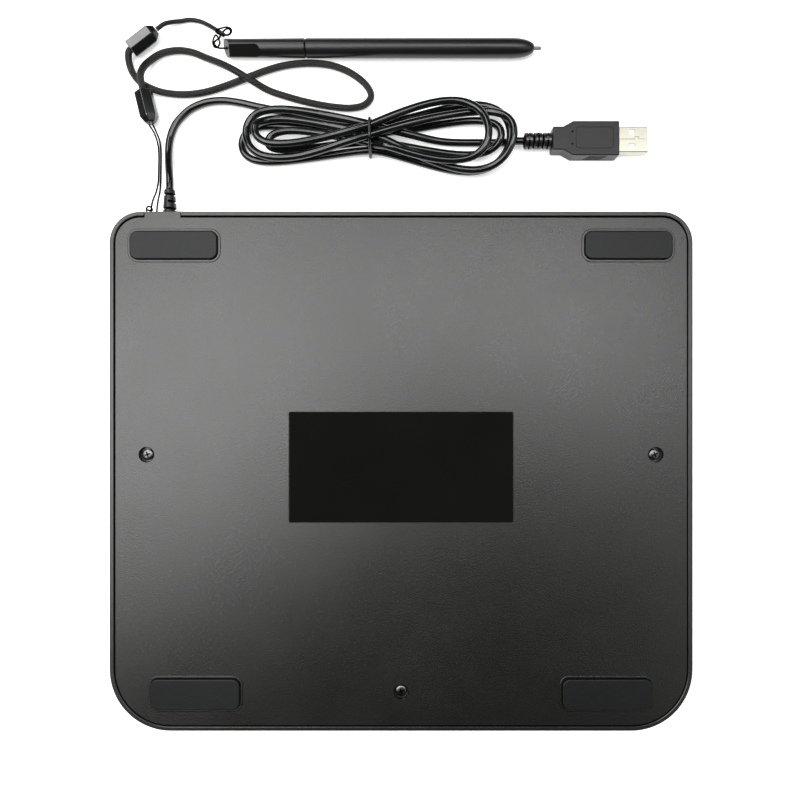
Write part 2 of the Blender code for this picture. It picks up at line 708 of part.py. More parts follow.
def front_housing():
    """The shell that carries the glass, with its posts for the screws and pegs for the board."""
    housing = plate("front_housing", pad_outline(0), 0, PAD_THICKNESS, case_plastic())
    bevel(housing, EDGE_ROUNDING)
    cut(
        housing,
        plate("housing_cavity", pad_outline(RIM_WALL), FACE_WALL, PAD_THICKNESS + OVERRUN),
        plate("glass_pocket", centred_outline(
            GLASS_WIDTH + 2 * CLEARANCE, GLASS_DEPTH + 2 * CLEARANCE,
            GLASS_CORNER_RADIUS + CLEARANCE, GLASS_CENTRE), -OVERRUN, GLASS_THICKNESS + CLEARANCE),
        plate("window", centred_outline(
            GLASS_WIDTH - 2 * WINDOW_LEDGE, GLASS_DEPTH - 2 * WINDOW_LEDGE,
            GLASS_CORNER_RADIUS, GLASS_CENTRE), -OVERRUN, FACE_WALL + OVERRUN),
        block("cable_notch",
              (TONGUE_LEFT - CLEARANCE, PAD_BACK - RIM_WALL - OVERRUN, TONGUE_FLOOR - CLEARANCE),
              (TONGUE_RIGHT + CLEARANCE, PAD_BACK + OVERRUN, PAD_THICKNESS + OVERRUN)),
    )
    for side, place in SCREW_PLACES.items():
        post = cylinder(f"post_{side}", POST_RADIUS, FACE_WALL / 2, POST_TOP, place)
        join(housing, post)
    for number, place in enumerate(BOARD_HOLES):
        peg = cylinder(f"peg_{number}", BOARD_PEG_RADIUS, FACE_WALL / 2, BOARD_HEIGHT - CLEARANCE, place)
        pin_top = BOARD_HEIGHT + BOARD_THICKNESS + CLEARANCE
        pin = cylinder(f"pin_{number}", BOARD_PEG_PIN_RADIUS, FACE_WALL, pin_top, place)
        join(housing, peg, pin)
    for side, place in SCREW_PLACES.items():
        radius = SCREW_SHANK_RADIUS + CLEARANCE
        cut(housing, cylinder(f"post_hole_{side}", radius, POST_HOLE_FLOOR, POST_TOP + OVERRUN, place))
    return housing


def bottom_cover():
    """The underside that shows: foot rings and pockets, screw cups, label recess and cable tongue."""
    inset = RIM_WALL + COVER_GAP
    cover = plate("bottom_cover", pad_outline(inset), COVER_BOTTOM, COVER_TOP, case_plastic())
    tongue_top = block(
        "tongue_top", (TONGUE_LEFT, PAD_BACK - 2 * inset, COVER_BOTTOM), (TONGUE_RIGHT, PAD_BACK, COVER_TOP))
    tongue_wall = block(
        "tongue_wall", (TONGUE_LEFT, PAD_BACK - RIM_WALL, TONGUE_FLOOR), (TONGUE_RIGHT, PAD_BACK, COVER_TOP))
    join(cover, tongue_top, tongue_wall)
    rib_half = PAD_SIDE - COVER_RIB_SIDE_MARGIN
    for number, share in enumerate(RIB_PLACE_SHARES):
        y = share * PAD_BACK
        join(cover, block(
            f"cover_rib_{number}", (-rib_half, y - COVER_RIB_WIDTH / 2, COVER_BOTTOM - COVER_RIB_DEPTH),
            (rib_half, y + COVER_RIB_WIDTH / 2, COVER_BOTTOM + COVER_THICKNESS / 2)))
    for side, place in SCREW_PLACES.items():
        join(cover, cylinder(
            f"cup_{side}", RECESS_RADIUS + CUP_WALL, CUP_BOTTOM, COVER_TOP - COVER_THICKNESS / 2, place))
    for side, (x, y, length, width) in FOOT_PLACES.items():
        ring = plate(f"foot_ring_{side}", centred_outline(
            length + 2 * FOOT_RING_WIDTH, width + 2 * FOOT_RING_WIDTH,
            FOOT_CORNER_RADIUS + FOOT_RING_WIDTH, (x, y)), COVER_BOTTOM + COVER_THICKNESS / 2,
            COVER_TOP + FOOT_RING_PROUD)
        bevel(ring, FOOT_RING_CHAMFER, 1)
        join(cover, ring)
        cut(cover, plate(f"foot_pocket_{side}", centred_outline(
            length + 2 * CLEARANCE, width + 2 * CLEARANCE, FOOT_CORNER_RADIUS + CLEARANCE, (x, y)),
            COVER_TOP - FOOT_POCKET_DEPTH, COVER_TOP + OVERRUN))
    cut(cover, plate("label_recess", centred_outline(
        LABEL_WIDTH + 2 * CLEARANCE, LABEL_DEPTH + 2 * CLEARANCE,
        LABEL_CORNER_RADIUS + CLEARANCE, (0, LABEL_Y)), COVER_TOP - LABEL_RECESS, COVER_TOP + OVERRUN))
    for side, place in SCREW_PLACES.items():
        cut(cover, cylinder(f"recess_{side}", RECESS_RADIUS, RECESS_FLOOR, COVER_TOP + OVERRUN, place))
        radius = SCREW_SHANK_RADIUS + CLEARANCE
        cut(cover, cylinder(f"cup_hole_{side}", radius, CUP_BOTTOM - OVERRUN, RECESS_FLOOR + OVERRUN, place))
    for side, beside in (("left", LEFT_THREAD_BESIDE), ("right", RIGHT_THREAD_BESIDE)):
        place = (CABLE_X + beside, THREAD_HOLE_HEIGHT)
        cut(cover, lying_cutter(f"thread_hole_{side}", THREAD_HOLE_RADIUS, *place))
    cut(cover, lying_cutter("gland_hole", GLAND_NECK_RADIUS + CLEARANCE, CABLE_X, CABLE_HEIGHT))
    return cover


def lying_cutter(name, radius, x, z):
    """A cylinder along Y through the tongue's wall."""
    reach = RIM_WALL + 2 * OVERRUN
    cutter = cylinder(name, radius, -reach / 2, reach / 2, (0, 0))
    return along_y(cutter, x, PAD_BACK - RIM_WALL / 2, z)


def feet():
    for side, (x, y, length, width) in FOOT_PLACES.items():
        foot = plate(f"foot_{side}", centred_outline(length, width, FOOT_CORNER_RADIUS, (x, y)),
                     COVER_TOP - FOOT_POCKET_DEPTH + CLEARANCE, COVER_TOP + FOOT_PROUD, dark_rubber())
        bevel(foot, FOOT_ROUNDING)


def cover_screws():
    """Pan-head screws with a cross drive."""
    head_bottom = RECESS_FLOOR + CLEARANCE
    head_top = head_bottom + SCREW_HEAD_HEIGHT
    for side, place in SCREW_PLACES.items():
        profile = [(0, SCREW_HEAD_HEIGHT)]
        for turn in np.linspace(math.pi / 8, math.pi / 2, 4):
            height = SCREW_HEAD_HEIGHT * (1 - SCREW_DOME_SHARE * (1 - math.cos(turn)))
            profile.append((SCREW_HEAD_RADIUS * math.sin(turn), height))
        profile += [(SCREW_HEAD_RADIUS, 0), (SCREW_SHANK_RADIUS, 0)]
        profile += [(SCREW_SHANK_RADIUS, -SCREW_SHANK_LENGTH + SCREW_SHANK_RADIUS), (0, -SCREW_SHANK_LENGTH)]
        screw = turned(f"cover_screw_{side}", profile, SCREW_SIDES, screw_steel())
        screw.location = (*place, head_bottom)
        for number, turn in enumerate((0, math.pi / 2)):
            slot = block(
                f"drive_{side}_{number}",
                (-SCREW_DRIVE_LENGTH / 2, -SCREW_DRIVE_WIDTH / 2, -SCREW_DRIVE_DEPTH),
                (SCREW_DRIVE_LENGTH / 2, SCREW_DRIVE_WIDTH / 2, OVERRUN))
            slot.matrix_world = Matrix.Translation((*place, head_top)) @ Matrix.Rotation(turn, 4, "Z")
            cut(screw, slot)


def blank_label():
    top = COVER_TOP - LABEL_RECESS + CLEARANCE + LABEL_THICKNESS
    outline = centred_outline(LABEL_WIDTH, LABEL_DEPTH, LABEL_CORNER_RADIUS, (0, LABEL_Y))
    return plate("blank_label", outline, top - LABEL_THICKNESS, top, plain_label())


# Display stack, from the glass inwards

PANEL_BOTTOM = FACE_WALL + CLEARANCE
PANEL_TOP = PANEL_BOTTOM + PANEL_THICKNESS
DIGITIZER_TOP = PANEL_TOP + CLEARANCE + DIGITIZER_THICKNESS
SHIELD_BOTTOM = DIGITIZER_TOP + CLEARANCE


def front_glass():
    outline = centred_outline(GLASS_WIDTH, GLASS_DEPTH, GLASS_CORNER_RADIUS, GLASS_CENTRE)
    return plate("front_glass", outline, 0, GLASS_THICKNESS, window_glass())


def lcd_panel():
    outline = centred_outline(PANEL_WIDTH, PANEL_DEPTH, GLASS_CORNER_RADIUS, GLASS_CENTRE)
    panel = plate("lcd_panel", outline, PANEL_BOTTOM, PANEL_TOP, panel_black())
    neck = centred_outline(
        GLASS_WIDTH - 2 * WINDOW_LEDGE - 2 * CLEARANCE, GLASS_DEPTH - 2 * WINDOW_LEDGE - 2 * CLEARANCE,
        GLASS_CORNER_RADIUS - CLEARANCE, GLASS_CENTRE)
    face = plate("panel_face", neck, GLASS_THICKNESS + CLEARANCE, PANEL_BOTTOM + PANEL_THICKNESS / 2)
    return join(panel, face)


def digitizer_board():
    width = PANEL_WIDTH - 2 * DIGITIZER_MARGIN
    depth = PANEL_DEPTH - 2 * DIGITIZER_MARGIN
    outline = centred_outline(width, depth, GLASS_CORNER_RADIUS, GLASS_CENTRE)
    return plate(
        "digitizer_board", outline, DIGITIZER_TOP - DIGITIZER_THICKNESS, DIGITIZER_TOP, board_green())


def shield_plate():
    """A thin steel tray over the digitiser, with a lip turned up round it."""
    width = PANEL_WIDTH - 2 * SHIELD_MARGIN
    depth = PANEL_DEPTH - 2 * SHIELD_MARGIN
    outline = centred_outline(width, depth, GLASS_CORNER_RADIUS, GLASS_CENTRE)
    tray = plate(
        "shield_plate", outline, SHIELD_BOTTOM, SHIELD_BOTTOM + SHIELD_THICKNESS + SHIELD_LIP, zinc_steel())
    hollow = plate("shield_hollow", centred_outline(
        width - 2 * SHIELD_THICKNESS, depth - 2 * SHIELD_THICKNESS,
        GLASS_CORNER_RADIUS - SHIELD_THICKNESS, GLASS_CENTRE),
        SHIELD_BOTTOM + SHIELD_THICKNESS, SHIELD_BOTTOM + SHIELD_THICKNESS + SHIELD_LIP + OVERRUN)
    return cut(tray, hollow)


# Main board, in the palm rest


def on_board(width, depth, shares):
    """Low corner of a piece whose middle is at these shares of the board."""
    x = BOARD_LEFT + shares[0] * BOARD_WIDTH
    y = BOARD_FRONT + shares[1] * BOARD_DEPTH
    return (x - width / 2, y - depth / 2)


def main_board():
    top = BOARD_HEIGHT + BOARD_THICKNESS
    board = block(
        "main_board", (BOARD_LEFT, BOARD_FRONT, BOARD_HEIGHT),
        (BOARD_LEFT + BOARD_WIDTH, BOARD_FRONT + BOARD_DEPTH, top), board_green())
    for number, place in enumerate(BOARD_HOLES):
        radius = BOARD_PEG_PIN_RADIUS + CLEARANCE
        cut(board, cylinder(
            f"board_hole_{number}", radius, BOARD_HEIGHT - OVERRUN, top + OVERRUN, place))
    return board


def board_piece(name, width, depth, height, shares, material):
    x, y = on_board(width, depth, shares)
    bottom = BOARD_HEIGHT + BOARD_THICKNESS + CLEARANCE
    return block(name, (x, y, bottom), (x + width, y + depth, bottom + height), material)


def ribbon_cable():
    """A flat ribbon from the digitiser's underside down to its socket on the board."""
    x, y = on_board(RIBBON_WIDTH, SOCKET_DEPTH, SOCKET_PLACE_SHARES)
    socket_back = y + SOCKET_DEPTH + CLEARANCE
    socket_middle = BOARD_HEIGHT + BOARD_THICKNESS + CLEARANCE + SOCKET_HEIGHT / 2
    stack_front = GLASS_CENTRE[1] - PANEL_DEPTH / 2 - CLEARANCE
    half = RIBBON_THICKNESS / 2
    digitizer_middle = DIGITIZER_TOP - DIGITIZER_THICKNESS / 2
    stub = (stack_front - socket_back) / 8
    middle_y = (socket_back + stack_front) / 2
    route = ((socket_back, socket_middle), (socket_back + stub, socket_middle),
             (middle_y, (socket_middle + digitizer_middle) / 2),
             (stack_front - stub, digitizer_middle), (stack_front, digitizer_middle))
    track = smooth_route([(0, *p) for p in route], stub)
    return swept_strip("ribbon_cable", track, x, x + RIBBON_WIDTH, half, ribbon_film())


def swept_strip(name, track, left, right, half, material):
    """A thin strip along a track in the YZ plane, with its faces built across it."""
    data = bpy.data.meshes.new(name)
    shape = bmesh.new()
    rows = []
    for index, (_, y, z) in enumerate(track):
        before = track[max(index - 1, 0)]
        after = track[min(index + 1, len(track) - 1)]
        way = Vector((0, after[1] - before[1], after[2] - before[2])).normalized()
        side = Vector((0, -way.z, way.y)) * half
        middle = Vector((0, y, z))
        over, under = middle + side, middle - side
        corners = [(left, over), (right, over), (right, under), (left, under)]
        rows.append([shape.verts.new((x, p.y, p.z)) for x, p in corners])
    for row, following in zip(rows, rows[1:]):
        for a in range(4):
            b = (a + 1) % 4
            shape.faces.new((row[a], row[b], following[b], following[a]))
    shape.faces.new(rows[0])
    shape.faces.new(list(reversed(rows[-1])))
    bmesh.ops.recalc_face_normals(shape, faces=shape.faces)
    shape.to_mesh(data)
    shape.free()
    return place_object(name, data, material)


# Cable gland, its inner cable and the free lead

GLAND_OUTSIDE = PAD_BACK + CLEARANCE
GLAND_INSIDE = PAD_BACK - RIM_WALL - CLEARANCE


def cable_gland():
    """A moulded relief: flange inside the wall, neck through it, and a grooved taper outside."""
    profile = [(0, GLAND_LENGTH)]
    profile.append((GLAND_TIP_RADIUS, GLAND_LENGTH))
    for share in sorted(GLAND_GROOVE_SHARES, reverse=True):
        middle = share * GLAND_LENGTH
        radius = GLAND_BASE_RADIUS + (GLAND_TIP_RADIUS - GLAND_BASE_RADIUS) * share
        for side, depth in ((0.5, 0), (0.3, 1), (-0.3, 1), (-0.5, 0)):
            profile.append((radius - depth * GLAND_GROOVE_DEPTH, middle + side * GLAND_GROOVE_WIDTH))
    neck_end = GLAND_INSIDE - GLAND_OUTSIDE
    profile += [(GLAND_BASE_RADIUS, 0), (GLAND_NECK_RADIUS, 0), (GLAND_NECK_RADIUS, neck_end)]
    profile += [(GLAND_FLANGE_RADIUS, neck_end), (GLAND_FLANGE_RADIUS, neck_end - GLAND_FLANGE_LENGTH)]
    profile.append((0, neck_end - GLAND_FLANGE_LENGTH))
    gland = turned("cable_gland", profile, GLAND_SIDES, plug_plastic())
    return along_y(gland, CABLE_X, GLAND_OUTSIDE, CABLE_HEIGHT)


def inner_cable():
    """The cable's inner end, from the gland to the header on the main board."""
    start = GLAND_INSIDE - GLAND_FLANGE_LENGTH - CLEARANCE
    x, y = on_board(HEADER_WIDTH, HEADER_DEPTH, HEADER_PLACE_SHARES)
    end_x = x + HEADER_WIDTH / 2
    end = y + HEADER_DEPTH + CLEARANCE
    height = BOARD_HEIGHT + BOARD_THICKNESS + CLEARANCE + HEADER_HEIGHT / 2
    bore = INNER_CABLE_DIAMETER
    left = -PANEL_WIDTH / 2
    back = GLASS_CENTRE[1] + PANEL_DEPTH / 2
    front = GLASS_CENTRE[1] - PANEL_DEPTH / 2
    lane = -(SIDE_SCREW_X + POST_RADIUS + CLEARANCE + bore)
    route = (
        (CABLE_X, start, CABLE_HEIGHT), (CABLE_X, start - bore / 2, CABLE_HEIGHT),
        (CABLE_X - bore, start - 5 * bore / 3, CABLE_HEIGHT), (left - bore, back + bore / 3, CABLE_HEIGHT),
        (left - 2 * bore, back - 2 * bore, CABLE_HEIGHT), (lane, back - 6 * bore, CABLE_HEIGHT),
        (lane, SIDE_SCREW_Y + 6 * bore, CABLE_HEIGHT), (lane, SIDE_SCREW_Y - 3 * bore, CABLE_HEIGHT),
        (lane, front + 5 * bore, CABLE_HEIGHT), (left - 2 * bore, front - bore, height),
        (left + bore, front - 3 * bore, height), (end_x - bore, end + 4 * bore, height),
        (end_x, end + 2 * bore, height), (end_x, end, height),
    )
    return free_cord("inner_cable", route, INNER_CABLE_DIAMETER, cable_skin())


def usb_lead():
    start = (CABLE_X, GLAND_OUTSIDE + GLAND_LENGTH + CLEARANCE, CABLE_HEIGHT)
    first, second = (Vector(point) for point in hank_points()[:2])
    way = (second - first).normalized()
    end = first - CLEARANCE * way
    stub = (CABLE_X, start[1] + CABLE_DIAMETER, CABLE_HEIGHT)
    route = [start, stub, *from_cable(USB_LEAD_ROUTE), end - CABLE_DIAMETER * way, end]
    return free_cord("usb_lead", route, CABLE_DIAMETER, cable_skin())


# Hank. Its own frame has u along X from the tie and v along Y, in metres.

STRAND_STEP = CABLE_DIAMETER + STRAND_GAP
FLOOR_HEIGHT = CABLE_DIAMETER / 2 + LEAST_SELF_GAP / 8
TIE_LIFT = TIE_DIAMETER + CLEARANCE
HANK_RIGHT_REACH = max(half["reach"][0] for half in HANK_HALF_SHARES) * STRAND_STEP
BOOT_START = TIE_X + HANK_RIGHT_REACH + CABLE_DIAMETER / 2 + HANK_TO_PLUG


def ease(share):
    return share * share * (3 - 2 * share)


def ramp(share, start, end):
    """0 before start, 1 after end, and smooth between."""
    return ease(min(1.0, max(0.0, (share - start) / (end - start))))


def between(pair, share):
    return pair[0] + (pair[1] - pair[0]) * share


def tie_lift(u):
    """The strands rise where the tie passes under them."""
    return TIE_LIFT * math.exp(-((u / (TIE_LIFT_STEPS * STRAND_STEP)) ** 2))


def hank_half(half):
    """One lobe of one loop, from the tie round the tip and back."""
    points = []
    for share in np.arange(0, 1, 2 / LOOP_POINTS):
        turn = math.pi * (share - TIP_SPREAD_SHARE * math.sin(4 * math.pi * share))
        out = math.sin(turn)
        mixed = ease(share)
        along = between(half["reach"], mixed) * out * (1 + half["round"] * math.cos(turn) ** 2)
        waist = between(half["waist"], (1 - math.cos(turn)) / 2)
        bulge = half["way"] * between(half["bulge"], mixed) * math.sin(2 * turn)
        across = waist + bulge * out ** between(half["soft"], mixed)
        layer, *changes = half["layers"]
        for change, start, end in changes:
            layer += change * ramp(share, start, end)
        layer += half["tip"] * out**6
        u = half["side"] * along * STRAND_STEP
        points.append((u, across * STRAND_STEP, FLOOR_HEIGHT + layer * STRAND_STEP + tie_lift(u)))
    return points


def hank_start_route():
    """The lead's way in along the outside of the lowest layer, up to the tie."""
    reach, offset = (steps * STRAND_STEP for steps in HANK_START_STEPS)
    waist = HANK_HALF_SHARES[0]["waist"][0] * STRAND_STEP
    points = []
    for share in np.linspace(0, 1, LOOP_POINTS // 4, endpoint=False):
        left = 1 - share
        v = between((offset, waist), ease(share)) - HANK_START_SLOPE_SHARE * reach * share * left**2
        u = -reach * left
        points.append((u, v, FLOOR_HEIGHT + tie_lift(u)))
    return points


def leaving_run():
    """From under the upper strands down inside the right lobe, below its tips and out to the plug."""
    end = BOOT_START - CLEARANCE - TIE_X
    straight_start = end - CABLE_DIAMETER
    level = LEAVE_LEVEL_STEPS * STRAND_STEP
    waist = WIDE_STEPS * STRAND_STEP
    points = []
    for u in np.linspace(0, straight_start, LOOP_POINTS // 2 + 1):
        steps = u / STRAND_STEP
        height = FLOOR_HEIGHT + STRAND_STEP * (1 - ramp(steps, *DIVE_STEPS))
        height += (PLUG_HEIGHT - FLOOR_HEIGHT) * ramp(steps, RISE_STEPS, straight_start / STRAND_STEP)
        share = min(1.0, u / level)
        slope = LEAVE_SLOPE_SHARE * level * share * (1 - share) ** 2
        v = between((waist, PLUG_Y - TIE_Y), ease(share)) - slope
        points.append((u, v, height + tie_lift(u)))
    points.append((end, PLUG_Y - TIE_Y, PLUG_HEIGHT))
    return points


def hank_points():
    points = hank_start_route()
    for half in HANK_HALF_SHARES:
        points += hank_half(half)
    points += leaving_run()
    return np.array([(u + TIE_X, v + TIE_Y, z) for u, v, z in points])


def self_gap(points, diameter):
    """Least gap between stretches of one tube, measured along its centreline."""
    fine = np.concatenate([np.linspace(a, b, 6, endpoint=False) for a, b in zip(points, points[1:])])
    along = np.concatenate([[0], np.cumsum(np.linalg.norm(np.diff(fine, axis=0), axis=1))])
    least = math.inf
    for index, place in enumerate(fine):
        apart = along - along[index] > 4 * diameter
        if apart.any():
            least = min(least, np.linalg.norm(fine[apart] - place, axis=1).min())
    return least - diameter


def usb_hank():
    points = hank_points()
    gap = self_gap(points, CABLE_DIAMETER)
    print(f"hank: {len(points)} points, least gap to itself {1000 * gap:.2f} mm")
    return tube("usb_hank", points, CABLE_DIAMETER, cable_skin(), resolution=1)


def cable_tie():
    """A wire tie round the waist of the hank, clear of its lowest and highest outer strands."""
    clear = CABLE_DIAMETER / 2 + CLEARANCE + TIE_DIAMETER / 2
    low = (LOW_STEPS * STRAND_STEP, FLOOR_HEIGHT + TIE_LIFT)
    high = (HIGH_STEPS * STRAND_STEP, FLOOR_HEIGHT + TIE_LIFT + 2 * STRAND_STEP)
    lean = math.atan2(low[0] - high[0], high[1] - low[1])
    right = []
    for (v, z), start, end in ((low, -math.pi / 2, lean), (high, lean, math.pi / 2)):
        for turn in np.linspace(start, end, 4):
            reach = clear + TIE_SLACK * max(0.0, math.cos(turn))
            right.append((v + reach * math.cos(turn), z + clear * math.sin(turn)))
    loop = right + [(-v, z) for v, z in reversed(right)]
    places = [(TIE_X, TIE_Y + v, z) for v, z in loop]
    return tube("cable_tie", places, TIE_DIAMETER, thread_black(), closed=True)


# Plug

BOOT_PITCH = BOOT_RING_LENGTH + BOOT_RING_GAP
BODY_START = BOOT_START + BOOT_RING_COUNT * BOOT_PITCH - BOOT_RING_GAP + CLEARANCE
SHELL_START = BODY_START + BODY_LENGTH + CLEARANCE


def plug_boot():
    """The flexible relief behind the plug: three rings on a thinner core."""
    profile = []
    for number in range(BOOT_RING_COUNT):
        start = number * BOOT_PITCH
        end = start + BOOT_RING_LENGTH
        profile += [(BOOT_CORE_RADIUS, start), (BOOT_RING_RADIUS, start)]
        profile += [(BOOT_RING_RADIUS, end), (BOOT_CORE_RADIUS, end)]
    profile.append((0, profile[-1][1]))
    boot = turned("plug_boot", [*reversed(profile), (0, 0)], BOOT_SIDES, plug_plastic())
    return along_x(boot, BOOT_START, PLUG_Y, PLUG_HEIGHT)


def plug_body():
    """The moulded grip: a neck, sloping shoulders, and slanted grooves on both sides."""
    neck = BODY_NECK_WIDTH / 2
    half = BODY_WIDTH / 2
    shoulder = BODY_NECK_LENGTH + BODY_SHOULDER_LENGTH
    side = [(0, neck), (BODY_NECK_LENGTH, neck), (shoulder, half), (BODY_LENGTH - BODY_ROUNDING, half),
            (BODY_LENGTH, half - BODY_ROUNDING)]
    outline = [(BODY_START + x, PLUG_Y - y) for x, y in side]
    outline += [(BODY_START + x, PLUG_Y + y) for x, y in reversed(side)]
    bottom = PLUG_HEIGHT - BODY_THICKNESS / 2
    body = plate("plug_body", outline, bottom, bottom + BODY_THICKNESS, plug_plastic())
    bevel(body, BODY_ROUNDING)
    tall = BODY_THICKNESS / 2 - BODY_ROUNDING
    slant = Matrix.Rotation(GRIP_SLANT, 4, "Y")
    for side_name, way in (("front", -1), ("back", 1)):
        for number in range(GRIP_COUNT):
            x = BODY_START + GRIP_START + number * GRIP_PITCH
            slot = block(
                f"grip_{side_name}_{number}", (-GRIP_WIDTH / 2, -GRIP_DEPTH, -tall),
                (GRIP_WIDTH / 2, GRIP_DEPTH, tall))
            slot.matrix_world = Matrix.Translation((x, PLUG_Y + way * half, PLUG_HEIGHT)) @ slant
            cut(body, slot)
    return body


def plug_shell():
    """The folded steel shell, open at both ends, with two square holes in each broad side."""
    low = (SHELL_START, PLUG_Y - SHELL_WIDTH / 2, PLUG_HEIGHT - SHELL_THICKNESS / 2)
    high = (SHELL_START + SHELL_LENGTH, PLUG_Y + SHELL_WIDTH / 2, PLUG_HEIGHT + SHELL_THICKNESS / 2)
    shell = block("plug_shell", low, high, bright_steel())
    hollow = block(
        "shell_hollow", (low[0] - OVERRUN, low[1] + SHELL_WALL, low[2] + SHELL_WALL),
        (high[0] + OVERRUN, high[1] - SHELL_WALL, high[2] - SHELL_WALL))
    cut(shell, hollow)
    x = SHELL_START + SHELL_HOLE_X_SHARE * SHELL_LENGTH
    for number, y in enumerate((PLUG_Y - SHELL_HOLE_Y, PLUG_Y + SHELL_HOLE_Y)):
        cut(shell, block(
            f"shell_hole_{number}", (x - SHELL_HOLE_SIDE / 2, y - SHELL_HOLE_SIDE / 2, low[2] - OVERRUN),
            (x + SHELL_HOLE_SIDE / 2, y + SHELL_HOLE_SIDE / 2, high[2] + OVERRUN)))
    return shell


def plug_tongue():
    """The insulator that carries the contacts, in the upper half of the shell."""
    top = PLUG_HEIGHT + SHELL_THICKNESS / 2 - SHELL_WALL - CLEARANCE
    return block(
        "plug_tongue", (SHELL_START, PLUG_Y - TONGUE_PLATE_WIDTH / 2, top - TONGUE_PLATE_THICKNESS),
        (SHELL_START + TONGUE_PLATE_SHARE * SHELL_LENGTH, PLUG_Y + TONGUE_PLATE_WIDTH / 2, top),
        white_plastic())


# Tether


def cord_end(name, place, angle, height, edge_up):
    """A six-sided crimp barrel with a tapered nose, and a socket for the braid at its flat end."""
    corner = END_FLATS / math.sqrt(3)
    socket_radius = BRAID_DIAMETER / 2 + CLEARANCE
    nose = corner * END_NOSE_RADIUS_SHARE
    length = END_BARREL_LENGTH + END_NOSE_LENGTH
    profile = [(0, length), (nose, length), (corner, END_BARREL_LENGTH), (corner, 0)]
    profile += [(socket_radius, 0), (socket_radius, END_SOCKET_DEPTH), (0, END_SOCKET_DEPTH)]
    barrel = turned(name, profile, 6, plug_plastic())
    barrel.modifiers["turn"].use_smooth_shade = False
    spin = math.radians(0 if edge_up else 30)
    heading = Matrix.Rotation(angle, 4, "Z") @ Matrix.Rotation(math.pi / 2, 4, "Y")
    barrel.matrix_world = (
        Matrix.Translation(end_point(place, angle, height, 0)) @ heading @ Matrix.Rotation(spin, 4, "Z")
        @ Matrix.Translation((0, 0, -length / 2)))
    return barrel


def tether_end_pad():
    return cord_end("tether_end_pad", PAD_END_PLACE, PAD_END_ANGLE, PAD_END_HEIGHT, edge_up=True)


def tether_end_pen():
    return cord_end("tether_end_pen", PEN_END_PLACE, PEN_END_ANGLE, PEN_END_HEIGHT, edge_up=False)


def end_point(place, angle, height, way, aside=0.0):
    """A point on the axis of a cord end, or beside it, this far from its middle."""
    x = place[0] + way * math.cos(angle) - aside * math.sin(angle)
    y = place[1] + way * math.sin(angle) + aside * math.cos(angle)
    return from_cable([(x, y, height)])[0]


END_HALF = (END_BARREL_LENGTH + END_NOSE_LENGTH) / 2
PEN_END_HEIGHT = END_FLATS / 2
PAD_END_HEIGHT = END_FLATS / math.sqrt(3)


def tether_braid():
    """The braided cord, from the socket of one end to the socket of the other."""
    floor = END_HALF - END_SOCKET_DEPTH + CLEARANCE
    mouth = END_HALF + BRAID_DIAMETER / 3
    first = [end_point(PEN_END_PLACE, PEN_END_ANGLE, PEN_END_HEIGHT, -way) for way in (floor, mouth)]
    last = [end_point(PAD_END_PLACE, PAD_END_ANGLE, PAD_END_HEIGHT, -way) for way in (mouth, floor)]
    route = [*first, *from_cable(BRAID_ROUTE), *last]
    return free_cord("tether_braid", route, BRAID_DIAMETER, braid_fabric())


def thin_cord():
    start = END_HALF + CLEARANCE
    stub = start + THIN_CORD_DIAMETER
    first = [end_point(PEN_END_PLACE, PEN_END_ANGLE, PEN_END_HEIGHT, way) for way in (start, stub)]
    route = [*first, *from_cable(THIN_CORD_ROUTE)]
    return free_cord("thin_cord", route, THIN_CORD_DIAMETER, braid_fabric())


def pad_threads():
    """Two threads from the nose of the cord end into the tongue's holes."""
    start = END_HALF + CLEARANCE
    stub = start + THREAD_DIAMETER
    for side, way, route, x in (
            ("left", -1, LEFT_THREAD_ROUTE, LEFT_THREAD_BESIDE),
            ("right", 1, RIGHT_THREAD_ROUTE, RIGHT_THREAD_BESIDE)):
        aside = way * THREAD_DIAMETER
        first = [
            end_point(PAD_END_PLACE, PAD_END_ANGLE, PAD_END_HEIGHT, reach, aside) for reach in (start, stub)]
        mouth = (x, THREAD_DIAMETER, THREAD_HOLE_HEIGHT)
        inside = (x, -THREAD_INSIDE_LENGTH, THREAD_HOLE_HEIGHT)
        rest = from_cable([*route, mouth, inside])
        free_cord(f"pad_thread_{side}", [*first, *rest], THREAD_DIAMETER, thread_black())


# Pen


def pen_empty():
    empty = bpy.data.objects.new("pen_axis", None)
    PARTS.objects.link(empty)
    empty.matrix_world = Matrix.Translation((0, PEN_Y, PEN_HEIGHT)) @ Matrix.Rotation(math.pi / 2, 4, "Y")
    return empty


def pen_piece(axis, item):
    """Hangs a piece, made along local Z in the pen's own x, on the pen's axis."""
    item.parent = axis
    return item


